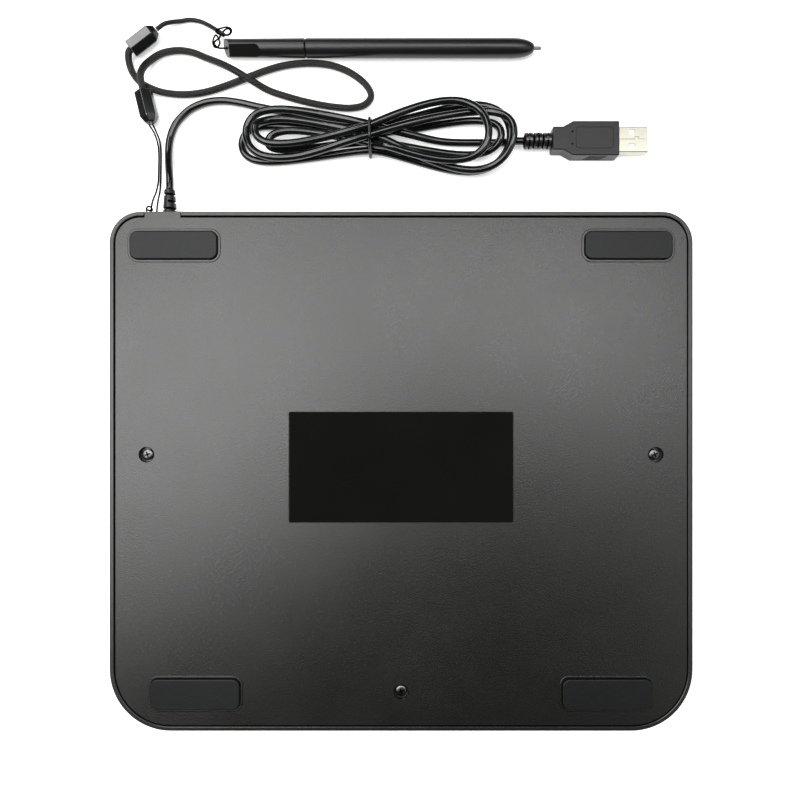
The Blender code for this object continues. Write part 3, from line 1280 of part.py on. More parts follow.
def rear_barrel(axis):
    shoulder = PEN_SPLIT_X - CLEARANCE / 2
    spigot = PEN_BORE_RADIUS - CLEARANCE
    profile = [(0, shoulder + PEN_SPIGOT_LENGTH), (spigot, shoulder + PEN_SPIGOT_LENGTH), (spigot, shoulder)]
    profile += [(PEN_SPLIT_RADIUS, shoulder), (PEN_TAIL_RADIUS, PEN_TAIL_X + PEN_TAIL_RADIUS)]
    profile += [(PEN_TAIL_RADIUS, PEN_TAIL_X), (0, PEN_TAIL_X)]
    barrel = turned("pen_rear_barrel", profile, PEN_SIDES, pen_plastic())
    reach = 2 * PEN_TAIL_RADIUS
    face = PEN_TAIL_X + PEN_TAIL_RADIUS * (math.tan(PEN_TAIL_SLANT) + math.tan(PEN_TAIL_LEAN))
    slant = block("tail_slant", (-reach, -reach, -2 * reach), (reach, reach, 0))
    slant.matrix_world = (
        Matrix.Translation((face, PEN_Y, PEN_HEIGHT)) @ Matrix.Rotation(PEN_TAIL_SLANT, 4, "Z")
        @ Matrix.Rotation(math.pi / 2 + PEN_TAIL_LEAN, 4, "Y"))
    hole = cylinder("tail_hole", PEN_TAIL_HOLE_RADIUS, -OVERRUN, PEN_TAIL_HOLE_DEPTH, (0, 0), 12)
    along_x(hole, face, PEN_Y, PEN_HEIGHT)
    flat = block(
        "tail_flat", (-OVERRUN, -PEN_FLAT_WIDTH / 2, PEN_TAIL_RADIUS - PEN_FLAT_DEPTH),
        (PEN_FLAT_END, PEN_FLAT_WIDTH / 2, PEN_TAIL_RADIUS + OVERRUN))
    flat.matrix_world = (
        Matrix.Translation((PEN_TAIL_X, PEN_Y, PEN_HEIGHT)) @ Matrix.Rotation(PEN_FLAT_TURN, 4, "X"))
    cut(barrel, slant, hole, flat)
    return pen_piece(axis, barrel)


def front_barrel(axis):
    """A tube that swells to the grip and closes to the nib's hole in a rounded nose."""
    back = PEN_SPLIT_X + CLEARANCE / 2
    nose = PEN_NOSE_LENGTH
    wall = PEN_GRIP_RADIUS - PEN_BORE_RADIUS
    profile = [(PEN_NOSE_RADIUS, PEN_NOSE_END_X)]
    for share, size in reversed(PEN_NOSE_SHARES):
        profile.append((size * PEN_GRIP_RADIUS, PEN_NOSE_X + share * nose))
    profile += [(PEN_GRIP_RADIUS, PEN_NOSE_X), (PEN_SPLIT_RADIUS, back)]
    profile += [(PEN_BORE_RADIUS, back), (PEN_BORE_RADIUS, PEN_NOSE_X)]
    for share, size in PEN_NOSE_SHARES[:2]:
        profile.append((max(NIB_HOLE_RADIUS, size * PEN_GRIP_RADIUS - wall), PEN_NOSE_X + share * nose))
    profile.append((NIB_HOLE_RADIUS, PEN_NOSE_X + PEN_NOSE_SHARES[2][0] * nose))
    profile.append((NIB_HOLE_RADIUS, PEN_NOSE_END_X))
    return pen_piece(axis, turned("pen_front_barrel", profile, PEN_SIDES, pen_plastic()))


NIB_BACK_X = NIB_TIP_X - NIB_LENGTH
CARRIER_FRONT_X = NIB_BACK_X + CARRIER_GRIP
CARRIER_BACK_X = CARRIER_FRONT_X - CARRIER_LENGTH
COIL_FRONT_X = PEN_NOSE_X + CLEARANCE
SPRING_FRONT_X = CARRIER_BACK_X - CLEARANCE - SPRING_WIRE / 2
SPRING_BACK_X = SPRING_FRONT_X - SPRING_TURNS * SPRING_PITCH
STOP_X = SPRING_BACK_X - SPRING_WIRE / 2 - CLEARANCE


def nib(axis):
    profile = [(0, NIB_TIP_X)]
    profile += [(size * NIB_RADIUS, NIB_TIP_X - back * NIB_RADIUS) for size, back in NIB_TIP_SHARES]
    profile += [(NIB_RADIUS, NIB_BACK_X), (0, NIB_BACK_X)]
    return pen_piece(axis, turned("nib", profile, PEN_SIDES // 2, nib_plastic()))


def nib_carrier(axis):
    """The slide that holds the nib's back end and bears on the spring."""
    grip = NIB_RADIUS + CLEARANCE
    socket = NIB_BACK_X - CLEARANCE
    profile = [(0, socket), (grip, socket), (grip, CARRIER_FRONT_X)]
    profile += [(CARRIER_RADIUS, CARRIER_FRONT_X), (CARRIER_RADIUS, CARRIER_BACK_X), (0, CARRIER_BACK_X)]
    return pen_piece(axis, turned("nib_carrier", profile, PEN_SIDES // 2, white_plastic()))


def sense_coil(axis):
    """The coil former round the nib, fixed behind the nose."""
    inner = NIB_HOLE_RADIUS
    outer = PEN_BORE_RADIUS - CLEARANCE
    back = COIL_FRONT_X - COIL_LENGTH
    profile = [(inner, COIL_FRONT_X), (outer, COIL_FRONT_X), (outer, COIL_FRONT_X - COIL_FLANGE)]
    profile += [(COIL_RADIUS, COIL_FRONT_X - COIL_FLANGE), (COIL_RADIUS, back + COIL_FLANGE)]
    profile += [(outer, back + COIL_FLANGE), (outer, back), (inner, back)]
    return pen_piece(axis, turned("sense_coil", profile, PEN_SIDES // 2, coil_copper()))


def nib_spring(axis):
    """A coil spring from its stop to the carrier, as one wire."""
    steps = SPRING_TURNS * SPRING_POINTS
    points = []
    for step in range(steps + 1):
        turn = 2 * math.pi * step / SPRING_POINTS
        along = SPRING_BACK_X + (SPRING_FRONT_X - SPRING_BACK_X) * step / steps
        points.append((SPRING_RADIUS * math.cos(turn), SPRING_RADIUS * math.sin(turn), along))
    gap = self_gap(np.array(points), SPRING_WIRE)
    print(f"nib spring: least gap to itself {1000 * gap:.2f} mm")
    return pen_piece(axis, tube("nib_spring", points, SPRING_WIRE, zinc_steel(), resolution=0))


def spring_stop(axis):
    """The fixed plug behind the spring, which carries the pen's circuit board."""
    profile = [(0, STOP_X), (PEN_BORE_RADIUS - CLEARANCE, STOP_X)]
    back = STOP_X - CARRIER_GRIP
    profile += [(PEN_BORE_RADIUS - CLEARANCE, back), (0, back)]
    return pen_piece(axis, turned("spring_stop", profile, PEN_SIDES // 2, white_plastic()))


def pen_board(axis):
    front = STOP_X - CARRIER_GRIP - CLEARANCE
    half = PEN_BOARD_WIDTH / 2
    board = block(
        "pen_board", (-PEN_BOARD_THICKNESS / 2, -half, front - PEN_BOARD_LENGTH),
        (PEN_BOARD_THICKNESS / 2, half, front), board_green())
    return pen_piece(axis, board)


def pen_thread():
    """Thread that ties the thin cord to the hole in the pen's tail."""
    return free_cord("pen_thread", from_cable(PEN_THREAD_ROUTE), THREAD_DIAMETER, thread_black())


def build():
    front_housing()
    bottom_cover()
    feet()
    cover_screws()
    blank_label()
    front_glass()
    lcd_panel()
    digitizer_board()
    shield_plate()
    main_board()
    chip = (CHIP_SIDE, CHIP_SIDE, CHIP_HEIGHT)
    header = (HEADER_WIDTH, HEADER_DEPTH, HEADER_HEIGHT)
    socket = (SOCKET_WIDTH, SOCKET_DEPTH, SOCKET_HEIGHT)
    board_piece("main_chip", *chip, CHIP_PLACE_SHARES, chip_black())
    board_piece("usb_header", *header, HEADER_PLACE_SHARES, white_plastic())
    board_piece("ribbon_socket", *socket, SOCKET_PLACE_SHARES, white_plastic())
    ribbon_cable()
    cable_gland()
    inner_cable()
    usb_lead()
    usb_hank()
    cable_tie()
    plug_boot()
    plug_body()
    plug_shell()
    plug_tongue()
    tether_end_pad()
    tether_end_pen()
    tether_braid()
    thin_cord()
    pad_threads()
    axis = pen_empty()
    rear_barrel(axis)
    front_barrel(axis)
    nib(axis)
    nib_carrier(axis)
    sense_coil(axis)
    nib_spring(axis)
    spring_stop(axis)
    pen_board(axis)
    pen_thread()


build()
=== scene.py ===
import json
from math import atan2, cos, exp, hypot, pi, radians, sin, sqrt, tan

import bmesh
import bpy
import numpy as np
from mathutils import Matrix, Vector

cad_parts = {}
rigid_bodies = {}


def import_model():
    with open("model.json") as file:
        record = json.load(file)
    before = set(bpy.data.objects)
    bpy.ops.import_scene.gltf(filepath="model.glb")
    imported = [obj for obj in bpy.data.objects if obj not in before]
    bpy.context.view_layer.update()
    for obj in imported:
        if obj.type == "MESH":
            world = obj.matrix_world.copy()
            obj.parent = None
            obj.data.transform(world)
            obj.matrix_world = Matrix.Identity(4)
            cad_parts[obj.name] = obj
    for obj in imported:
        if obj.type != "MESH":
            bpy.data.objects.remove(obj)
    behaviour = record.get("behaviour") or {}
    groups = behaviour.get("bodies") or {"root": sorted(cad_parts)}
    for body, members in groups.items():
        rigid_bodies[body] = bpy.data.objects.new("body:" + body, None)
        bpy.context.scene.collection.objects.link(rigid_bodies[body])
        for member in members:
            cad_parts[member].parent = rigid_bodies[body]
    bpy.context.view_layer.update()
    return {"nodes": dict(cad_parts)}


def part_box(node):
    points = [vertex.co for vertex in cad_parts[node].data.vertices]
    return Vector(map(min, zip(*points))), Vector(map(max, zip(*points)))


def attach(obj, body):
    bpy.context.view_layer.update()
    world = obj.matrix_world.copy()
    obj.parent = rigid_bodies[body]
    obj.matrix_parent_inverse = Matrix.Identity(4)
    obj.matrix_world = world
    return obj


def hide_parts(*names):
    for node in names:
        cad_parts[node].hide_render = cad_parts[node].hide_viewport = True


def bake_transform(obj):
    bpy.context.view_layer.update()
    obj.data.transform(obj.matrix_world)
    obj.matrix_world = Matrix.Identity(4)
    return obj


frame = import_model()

# A signature pad lying on its glass, with its pen on a tether and its USB cable tied in a hank.
# Lengths are in metres, but the cords' routes in millimetres. +Z is up, +Y is the edge that the cable leaves,
# and the origin is the middle of the front face.

scene = bpy.context.scene


# Small helpers for work in edit mode
making = {"mergeWithin": 0.000001, "smoothAngle": radians(32), "flatWeight": 90}


def chooseNothing():
    bpy.ops.object.select_all(action="DESELECT")


def chooseOnly(piece):
    chooseNothing()
    piece.select_set(True)
    bpy.context.view_layer.objects.active = piece


def settle(piece):
    # the piece's place goes into its mesh
    chooseOnly(piece)
    bpy.ops.object.transform_apply(location=True, rotation=True, scale=True)
    return piece


def begin(name):
    # the primitive just added gets its name
    piece = bpy.context.object
    piece.name = piece.data.name = name
    return settle(piece)


def editMode():
    bpy.ops.object.mode_set(mode="EDIT")


def objectMode():
    bpy.ops.object.mode_set(mode="OBJECT")


def pickParts(kind, passes):
    bpy.ops.mesh.select_mode(type=kind)
    bpy.ops.mesh.select_all(action="DESELECT")
    data = bpy.context.object.data
    shape = bmesh.from_edit_mesh(data)
    for part in shape.faces if kind == "FACE" else shape.edges:
        if passes(part):
            part.select_set(True)
    shape.select_flush_mode()
    bmesh.update_edit_mesh(data)


def pickFaces(test):
    # selects the faces whose middle and normal pass the test
    pickParts("FACE", lambda face: test(face.calc_center_median(), face.normal))


def pickEdges(test):
    # selects the edges whose two ends pass the test
    pickParts("EDGE", lambda edge: test(edge.verts[0].co, edge.verts[1].co))


def pushOut(*reach):
    bpy.ops.mesh.extrude_region_move(TRANSFORM_OT_translate={"value": reach})


def applyChange(piece, kind, **settings):
    chooseOnly(piece)
    change = piece.modifiers.new(kind.lower(), kind)
    for key, value in settings.items():
        setattr(change, key, value)
    bpy.ops.object.modifier_apply(modifier=change.name)
    return piece


def carve(piece, *tools, operation="DIFFERENCE"):
    for tool in tools:
        applyChange(piece, "BOOLEAN", object=tool, operation=operation, solver="EXACT")
        bpy.data.objects.remove(tool, do_unlink=True)
    return piece


def softenEdges(piece, width, segments=3, angle=35):
    return applyChange(
        piece, "BEVEL", width=width, segments=segments, limit_method="ANGLE",
        angle_limit=radians(angle), use_clamp_overlap=True)


def smoothOver(piece):
    # merges doubles, turns the faces outwards and shades the rounds smooth, but keeps broad faces flat
    chooseOnly(piece)
    editMode()
    bpy.ops.mesh.select_all(action="SELECT")
    bpy.ops.mesh.remove_doubles(threshold=making["mergeWithin"])
    bpy.ops.mesh.normals_make_consistent(inside=False)
    objectMode()
    bpy.ops.object.shade_smooth_by_angle(angle=making["smoothAngle"])
    applyChange(piece, "WEIGHTED_NORMAL", mode="FACE_AREA", weight=making["flatWeight"], keep_sharp=True)


def addCube(name, size, centre):
    chooseNothing()
    bpy.ops.mesh.primitive_cube_add(size=1, location=centre, scale=size)
    return begin(name)


def addBlock(name, low, high):
    return addCube(name, [b - a for a, b in zip(low, high)], [(a + b) / 2 for a, b in zip(low, high)])


def addSlab(name, size, centre, radii, topRound=0.0, bottomRound=0.0, cornerSegments=10, roundSegments=3):
    # a flat block with upright corners of two radii, front and back, and rounded rims
    piece = addCube(name, size, centre)
    editMode()
    for side, radius in zip((-1, 1), radii):
        pickEdges(lambda a, b: abs(a.z - b.z) > size[2] / 2 and side * (a.y - centre[1]) > 0)
        bpy.ops.mesh.bevel(offset=radius, segments=cornerSegments, affect="EDGES")
    for side, rounding in ((1, topRound), (-1, bottomRound)):
        if rounding:
            pickFaces(lambda middle, normal: side * normal.z > 0.9)
            bpy.ops.mesh.region_to_loop()
            bpy.ops.mesh.bevel(offset=rounding, segments=roundSegments, affect="EDGES")
    objectMode()
    return piece


def addTurned(name, rings, sides=48):
    # a disc drawn out ring by ring; each ring is (radius, distance along the axis)
    radiusBefore, before = rings[0]
    chooseNothing()
    bpy.ops.mesh.primitive_circle_add(
        vertices=sides, radius=radiusBefore, location=(0, 0, before), fill_type="NGON")
    piece = begin(name)
    editMode()
    bpy.ops.mesh.select_mode(type="FACE")
    bpy.ops.mesh.select_all(action="SELECT")
    for radius, along in rings[1:]:
        pushOut(0, 0, along - before)
        factor = radius / radiusBefore
        bpy.ops.transform.resize(value=(factor, factor, 1), center_override=(0, 0, along))
        radiusBefore, before = radius, along
    objectMode()
    return piece


def layDown(piece, place, turn):
    piece.location = place
    piece.rotation_euler = turn
    return settle(piece)


alongX = (0, pi / 2, 0)
alongY = (-pi / 2, 0, 0)


# Shader maths reads as plain expressions on sockets

class Wire:
    def __init__(self, finish, socket):
        self.finish, self.socket = finish, socket

    def sum(self, operation, first, second):
        return self.finish.add("Math", {0: first, 1: second}, operation=operation)

    def __add__(self, other):
        return self.sum("ADD", self, other)

    def __sub__(self, other):
        return self.sum("SUBTRACT", self, other)

    def __rsub__(self, other):
        return self.sum("SUBTRACT", other, self)

    def __mul__(self, other):
        return self.sum("MULTIPLY", self, other)

    __radd__, __rmul__ = __add__, __mul__

    def sine(self):
        return self.sum("SINE", self, 0.0)

    def atLeast(self, other):
        return self.sum("MAXIMUM", self, other)


class Finish:
    # one material; what is the same all over goes on the shader's own sockets
    def __init__(self, name, **constants):
        self.material = bpy.data.materials.new(name)
        self.material.use_nodes = True
        self.tree = self.material.node_tree
        self.shader = self.tree.nodes["Principled BSDF"]
        for key, value in constants.items():
            self.shader.inputs[key.replace("_", " ")].default_value = value

    def add(self, kind, sockets, out=0, stops=(), **settings):
        # a node's settings and a ramp's stops come first, then what its sockets hold
        node = self.tree.nodes.new("ShaderNode" + kind)
        for key, value in settings.items():
            setattr(node, key, value)
        for index, (place, colour) in enumerate(stops):
            node.color_ramp.elements[index].position = place
            node.color_ramp.elements[index].color = (*colour, 1.0)
        for key, value in sockets.items():
            if isinstance(value, Wire):
                self.tree.links.new(value.socket, node.inputs[key])
            else:
                node.inputs[key].default_value = value
        return Wire(self, node.outputs[out])

    def feed(self, name, wire):
        self.tree.links.new(wire.socket, self.shader.inputs[name])

    def noise(self, scale, detail=2.0, vector=None, stretch=None):
        # on object coordinates if no others are given; stretch draws them out along an axis
        vector = vector or self.add("TexCoord", {}, "Object")
        if stretch:
            vector = self.add("Mapping", {"Vector": vector, "Scale": stretch})
        return self.add("TexNoise", {"Vector": vector, "Scale": scale, "Detail": detail})

    def ramp(self, wire, dark, light, start=0.3, end=0.7):
        return self.add("ValToRGB", {"Fac": wire}, stops=((start, dark), (end, light)))

    def wear(self, colour, gloss, height, strength, distance):
        self.feed("Base Color", colour)
        self.feed("Roughness", gloss)
        self.feed("Normal", self.add("Bump", {"Strength": strength, "Distance": distance, "Height": height}))
        return self.material


def grained(name, dark, light, gloss, grainScale, grainDepth, mottling=0.05, specks=0.0, **constants):
    # moulded plastic or rubber: fine grain, mottled gloss, slow drift of tone, and a few pale specks of dust
    made = Finish(name, **constants)
    drift = made.noise(38.0, 3.0)
    grain = made.noise(grainScale)
    mottle = made.noise(1700.0, 3.0)
    colour = made.ramp(drift * 0.7 + grain * 0.3, dark, light, 0.32, 0.68)
    if specks:
        dustMask = made.ramp(made.noise(2600.0, 1.0), (0, 0, 0), (specks,) * 3, 0.71, 0.76)
        pale = tuple(min(1.0, 4 * value + 0.02) for value in light)
        colour = made.add("Mix", {0: dustMask, 6: colour, 7: (*pale, 1.0)}, 2, data_type="RGBA")
    gloss = gloss + (drift - 0.5) * 0.08 + (mottle - 0.5) * mottling
    return made.wear(colour, gloss, grain + mottle, 0.35, grainDepth)


def smoothMoulded(name, dark, light, gloss, **constants):
    # polished or satin plastic with very slight flow marks
    made = Finish(name, **constants)
    flow = made.noise(160.0, 4.0)
    return made.wear(made.ramp(flow, dark, light), gloss + (flow - 0.5) * 0.12, made.noise(900.0), 0.12, 0.00002)


def plainMetal(name, dark, light, gloss, lines):
    # rolled metal with fine drawn lines
    made = Finish(name, Metallic=1.0)
    drawn = made.noise(1.0, 3.0, stretch=lines)
    return made.wear(made.ramp(drawn, dark, light), gloss + (drawn - 0.5) * 0.16, drawn, 0.1, 0.00001)


def jacket():
    # the cable's glossy skin, a little uneven along its length
    made = Finish("cableJacket", IOR=1.47)
    waves = made.noise(3.0, 3.0, made.add("UVMap", {}))
    fine = made.noise(420.0)
    colour = made.ramp(waves, (0.003, 0.0034, 0.0035), (0.0055, 0.006, 0.0062))
    return made.wear(colour, 0.11 + (waves - 0.5) * 0.05 + (fine - 0.5) * 0.03, waves, 0.25, 0.00012)


def braidFabric(name, strands, dark, light, depth, level):
    # two families of strands that cross over each other round the cord
    made = Finish(name, Specular_IOR_Level=level)
    around = made.add("SeparateXYZ", {0: made.add("UVMap", {})})
    along = Wire(made, around.socket.node.outputs[1])
    turn = 2 * pi * strands
    around, along = around * turn, along * (turn * 0.6)
    over = (around + along).sine().atLeast((around - along).sine())
    height = over + (made.noise(1500.0) - 0.5) * 0.5
    # painted shade: the colour darkens where strands dip under each other, and the noise adds random tone
    colour = made.ramp(height * 0.5 + 0.3, dark, light, 0.25, 0.75)
    return made.wear(colour, 0.32 + (0.5 - over) * 0.12, height, 0.55, depth)


finishes = {
    "case": grained(
        "housingPlastic", (0.0052, 0.0053, 0.0044), (0.0072, 0.0073, 0.006), 0.33, 2600.0, 0.00015,
        mottling=0.15, specks=0.05),
    "cover": grained(
        "coverPlastic", (0.0038, 0.0041, 0.003), (0.0054, 0.0057, 0.0042), 0.305, 2100.0, 0.00018,
        mottling=0.15, specks=0.06),
    "foot": grained(
        "footRubber", (0.0046, 0.0052, 0.005), (0.0068, 0.0074, 0.0072), 0.44, 2400.0, 0.00015,
        mottling=0.08, Specular_IOR_Level=0.2),
    "label": grained(
        "barePlate", (0.0046, 0.0046, 0.004), (0.0054, 0.0054, 0.0048), 0.9, 3000.0, 0.00001, Specular_IOR_Level=0.0),
    "plug": grained(
        "plugVinyl", (0.0058, 0.0062, 0.0062), (0.0088, 0.0092, 0.009), 0.4, 2600.0, 0.00014,
        mottling=0.12, Specular_IOR_Level=0.37),
    "boot": grained("bootVinyl", (0.0058, 0.0062, 0.0062), (0.0088, 0.0092, 0.009), 0.26, 2600.0, 0.00008, IOR=1.6),
    # painted shade for the faces deep in slits, grooves and dimples
    "slit": grained(
        "paintedSlitShade", (0.0008, 0.0008, 0.0008), (0.0016, 0.0016, 0.0016), 0.8, 2600.0, 0.00002,
        Specular_IOR_Level=0.05),
    "gland": grained(
        "glandVinyl", (0.0055, 0.006, 0.006), (0.0085, 0.009, 0.009), 0.38, 2600.0, 0.00004, Specular_IOR_Level=0.34),
    "clip": smoothMoulded("clipPlastic", (0.004, 0.0044, 0.0046), (0.0065, 0.007, 0.0072), 0.22, IOR=1.62),
    "pen": grained(
        "penPlastic", (0.0044, 0.0044, 0.0042), (0.0062, 0.0062, 0.006), 0.34, 5200.0, 0.00003,
        mottling=0.08, Specular_IOR_Level=0.38),
    "nib": smoothMoulded("nibPlastic", (0.1, 0.108, 0.118), (0.165, 0.175, 0.187), 0.45),
    "jacket": jacket(),
    "braid": braidFabric("braidCord", 8, (0.0022, 0.0022, 0.0018), (0.0085, 0.009, 0.0072), 0.00022, 0.24),
    "fineBraid": braidFabric("fineBraidCord", 6, (0.0024, 0.0024, 0.002), (0.0085, 0.009, 0.0075), 0.00012, 0.22),
    "thread": braidFabric("twistedThread", 3, (0.0015, 0.0015, 0.0014), (0.004, 0.004, 0.0037), 0.00005, 0.0),
    "wire": smoothMoulded("tieCoating", (0.003, 0.003, 0.003), (0.005, 0.005, 0.005), 0.18),
    "screw": plainMetal("blackenedSteel", (0.055, 0.055, 0.057), (0.115, 0.115, 0.119), 0.27, (900.0, 900.0, 900.0)),
    "shell": plainMetal("platedSteel", (0.47, 0.452, 0.385), (0.505, 0.492, 0.425), 0.34, (60.0, 2600.0, 2600.0)),
    "contact": plainMetal("contactGold", (0.72, 0.5, 0.2), (0.85, 0.62, 0.28), 0.25, (60.0, 2600.0, 2600.0)),
    "zinc": plainMetal("zincSheet", (0.5, 0.51, 0.52), (0.68, 0.69, 0.7), 0.35, (40.0, 2200.0, 2200.0)),
    "copper": plainMetal("windingCopper", (0.45, 0.18, 0.09), (0.68, 0.32, 0.17), 0.35, (9000.0, 300.0, 300.0)),
    "white": smoothMoulded("whiteInsulator", (0.86, 0.86, 0.83), (0.92, 0.92, 0.89), 0.35),
    "glass": smoothMoulded("windowGlass", (0.006, 0.006, 0.007), (0.009, 0.009, 0.010), 0.08, Coat_Weight=0.4),
    "panel": smoothMoulded("panelFilm", (0.03, 0.032, 0.035), (0.045, 0.047, 0.05), 0.3),
    "board": smoothMoulded("boardLacquer", (0.018, 0.12, 0.05), (0.035, 0.19, 0.08), 0.4),
    "chip": grained("chipResin", (0.018, 0.018, 0.018), (0.03, 0.03, 0.03), 0.5, 4200.0, 0.00002),
    "ribbon": smoothMoulded("ribbonFilm", (0.4, 0.22, 0.05), (0.58, 0.35, 0.1), 0.35),
}


def dress(piece, finish):
    # every face of the piece gets this finish
    piece.data.materials.clear()
    piece.data.materials.append(finishes[finish])


def paintSlitShade(piece, test):
    # painted shade: narrow slits are too deep for light to come back out of them, so their faces get a near-black
    # matte finish
    piece.data.materials.append(finishes["slit"])
    for face in piece.data.polygons:
        if test(face.center):
            face.material_index = 1


def keepOn(piece, body, finish, slot, *nodes):
    # the piece rides on its body and stands for these solids
    dress(piece, finish)
    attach(piece, body)
    if nodes:
        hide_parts(*nodes)
    return piece


def stretchTo(piece, bodies, start, end, finish, slot, node):
    # the piece takes its finish, its place goes into its mesh, and it stands for this solid
    dress(piece, finish)
    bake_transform(piece)
    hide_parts(node)
    return piece


def finishPiece(piece, *belonging):
    smoothOver(piece)
    return keepOn(piece, *belonging)


print("finishes made")


# Camera, straight above the pad and its cords
view = {"x": -0.0005, "y": 0.0324, "height": 0.3, "lens": 28.36, "sensor": 36.0}

cameraData = bpy.data.cameras.new("viewCamera")
cameraData.lens = view["lens"]
cameraData.sensor_width = view["sensor"]
cameraData.clip_start = 0.01
camera = bpy.data.objects.new("viewCamera", cameraData)
camera.location = (view["x"], view["y"], view["height"])
scene.collection.objects.link(camera)
scene.camera = camera
scene.view_settings.view_transform = "Standard"


# Cords. Each is a tube of rings along its route, with a UV map that runs round and along it.

def curvePoint(a, b, c, d, share):
    return 0.5 * (
        2 * b + (c - a) * share + (2 * a - 5 * b + 4 * c - d) * share**2 + (3 * b - a - 3 * c + d) * share**3)


def smoothRoute(points, spacing):
    # even steps along a smooth curve, whose first and last legs stay straight
    knots = [Vector(p) for p in points]
    fine = [
        curvePoint(*four, share) for four in zip(knots, knots[1:], knots[2:], knots[3:])
        for share in np.linspace(0, 1, 24, endpoint=False)]
    return evenSteps(np.array([tuple(p) for p in (knots[0], *fine, *knots[-2:])]), spacing)


def evenSteps(track, spacing):
    lengths = np.concatenate([[0], np.cumsum(np.linalg.norm(np.diff(track, axis=0), axis=1))])
    count = max(8, round(lengths[-1] / spacing))
    wanted = np.linspace(0, lengths[-1], count + 1)
    return np.column_stack([np.interp(wanted, lengths, track[:, axis]) for axis in range(3)])


def inMetres(points, level=0):
    # a route's points come in millimetres, and one without a height lies at this level
    return [(x / 1000, y / 1000, (height or [level])[0] / 1000) for x, y, *height in points]


def routeLength(track):
    return float(np.linalg.norm(np.diff(track, axis=0), axis=1).sum())


def addTube(name, track, diameter, sides=16, closed=False):
    points = [Vector(p) for p in track]
    count = len(points)
    ways = []
    for index in range(count):
        ahead = (index + 1) % count if closed else min(index + 1, count - 1)
        behind = index - 1 if closed else max(index - 1, 0)
        ways.append((points[ahead] - points[behind]).normalized())
    side = ways[0].orthogonal().normalized()
    corners, rounds, travelled = [], [], 0.0
    for index, (point, way) in enumerate(zip(points, ways)):
        side = (side - side.dot(way) * way).normalized()
        other = way.cross(side)
        if index:
            travelled += (point - points[index - 1]).length
        rounds.append(travelled / (pi * diameter))
        for number in range(sides):
            turn = 2 * pi * number / sides
            corners.append(point + (cos(turn) * side + sin(turn) * other) * diameter / 2)
    faces, places = [], []
    for index in range(count if closed else count - 1):
        nextRing = (index + 1) % count
        for number in range(sides):
            nextSide = (number + 1) % sides
            faces.append((
                index * sides + number, index * sides + nextSide,
                nextRing * sides + nextSide, nextRing * sides + number))
            low, high = number / sides, (number + 1) / sides
            start, end = rounds[index], rounds[nextRing] if nextRing else rounds[index] + 0.1
            places += [(low, start), (high, start), (high, end), (low, end)]
    if not closed:
        faces += [tuple(reversed(range(sides))), tuple(range((count - 1) * sides, count * sides))]
        places += [(0, rounds[0])] * sides + [(0, rounds[-1])] * sides
    data = bpy.data.meshes.new(name)
    data.from_pydata(corners, [], faces)
    layer = data.uv_layers.new(name="UVMap")
    for spot, place in zip(layer.data, places):
        spot.uv = place
    data.shade_smooth()
    tube = bpy.data.objects.new(name, data)
    scene.collection.objects.link(tube)
    return tube


usb = {
    "diameter": 0.0035,
    "gap": 0.00062,
    "exit": (-0.1076, 0.1302, 0.0068),
    "leadLevel": 1.8,
    "lead": (
        (-108.3, 139, 5.6), (-109.2, 144, 3.8), (-109.8, 150, 2.3), (-109.3, 156), (-107.3, 161.7), (-104, 166.2),
        (-99, 170.4), (-92, 173.2), (-84, 174), (-76, 173), (-69, 171.4), (-62, 170),
    ),
    "tie": (-0.0144, 0.1559),
    "tieWire": 0.0014,
    "clear": 0.0003,
    "floor": 0.0018,
    "wide": 1.08,
    "liftSteps": 3.88,
    "startSteps": (9.7, 3.03),
    "startSlope": 0.21,
    "leaveSlope": 0.286,
    "leaveLevel": 11.2,
    "dive": (3.4, 9.2),
    "rise": 15.0,
    "plugY": 0.1541,
    "plugHeight": 0.00385,
    "toPlug": 0.0047,
    "pointsPerHalf": 48,
}
strandStep = usb["diameter"] + usb["gap"]

# two lobes make a loop; each row says which lobe, which way round, how far and how wide it goes,
# where its ends cross the tie, how full it is, and how it climbs and drops
hankHalves = (
    (1, 1, (15.83, 15.83), (3.3, 3.3), (1.5, -1.5), 0.0, (0.5, 0.5), 1.26, (0,)),
    (-1, -1, (15.0, 14.56), (1.75, 1.46), (-1.5, 0.5), 0.2, (0.5, 0.5), 0.0, (0,)),
    (1, 1, (14.81, 14.81), (1.94, 1.82), (0.5, -0.5), 0.08, (0.5, 0.5), 1.26, (0,)),
    (-1, -1, (11.65, 11.53), (0.87, 1.7), (-0.5, -1.08), 0.14, (0.5, 0.0), 0.0, (0, (1, 0.05, 0.4))),
    (1, -1, (13.2, 13.2), (2.18, 3.3), (-1.08, 0.54), 0.06, (0.0, 0.0), 0.63, (1, (1, 0.0, 0.08))),
    (-1, -1, (12.86, 12.86), (1.82, 1.77), (0.54, 0.0), 0.16, (0.0, 0.0), 0.0, (2, (-1, 0.55, 0.72))),
    (1, -1, (16.0, 16.0), (4.37, 2.77), (0.0, -0.54), 0.05, (0.14, 0.0), 1.55, (1.06, (0.94, 0.74, 0.9))),
    (-1, -1, (14.08, 14.08), (2.23, 2.09), (-0.54, 1.08), 0.17, (0.0, 0.0), 0.0, (2, (-1, 0.07, 0.22))),
)
bootStart = usb["tie"][0] + max(half[2][0] for half in hankHalves) * strandStep + usb["diameter"] / 2 + usb["toPlug"]


def ease(share):
    return share * share * (3 - 2 * share)


def ramp(share, start, end):
    return ease(min(1.0, max(0.0, (share - start) / (end - start))))


def between(pair, share):
    return pair[0] + (pair[1] - pair[0]) * share


def tieLift(u):
    return (usb["tieWire"] + usb["clear"]) * exp(-((u / (usb["liftSteps"] * strandStep)) ** 2))


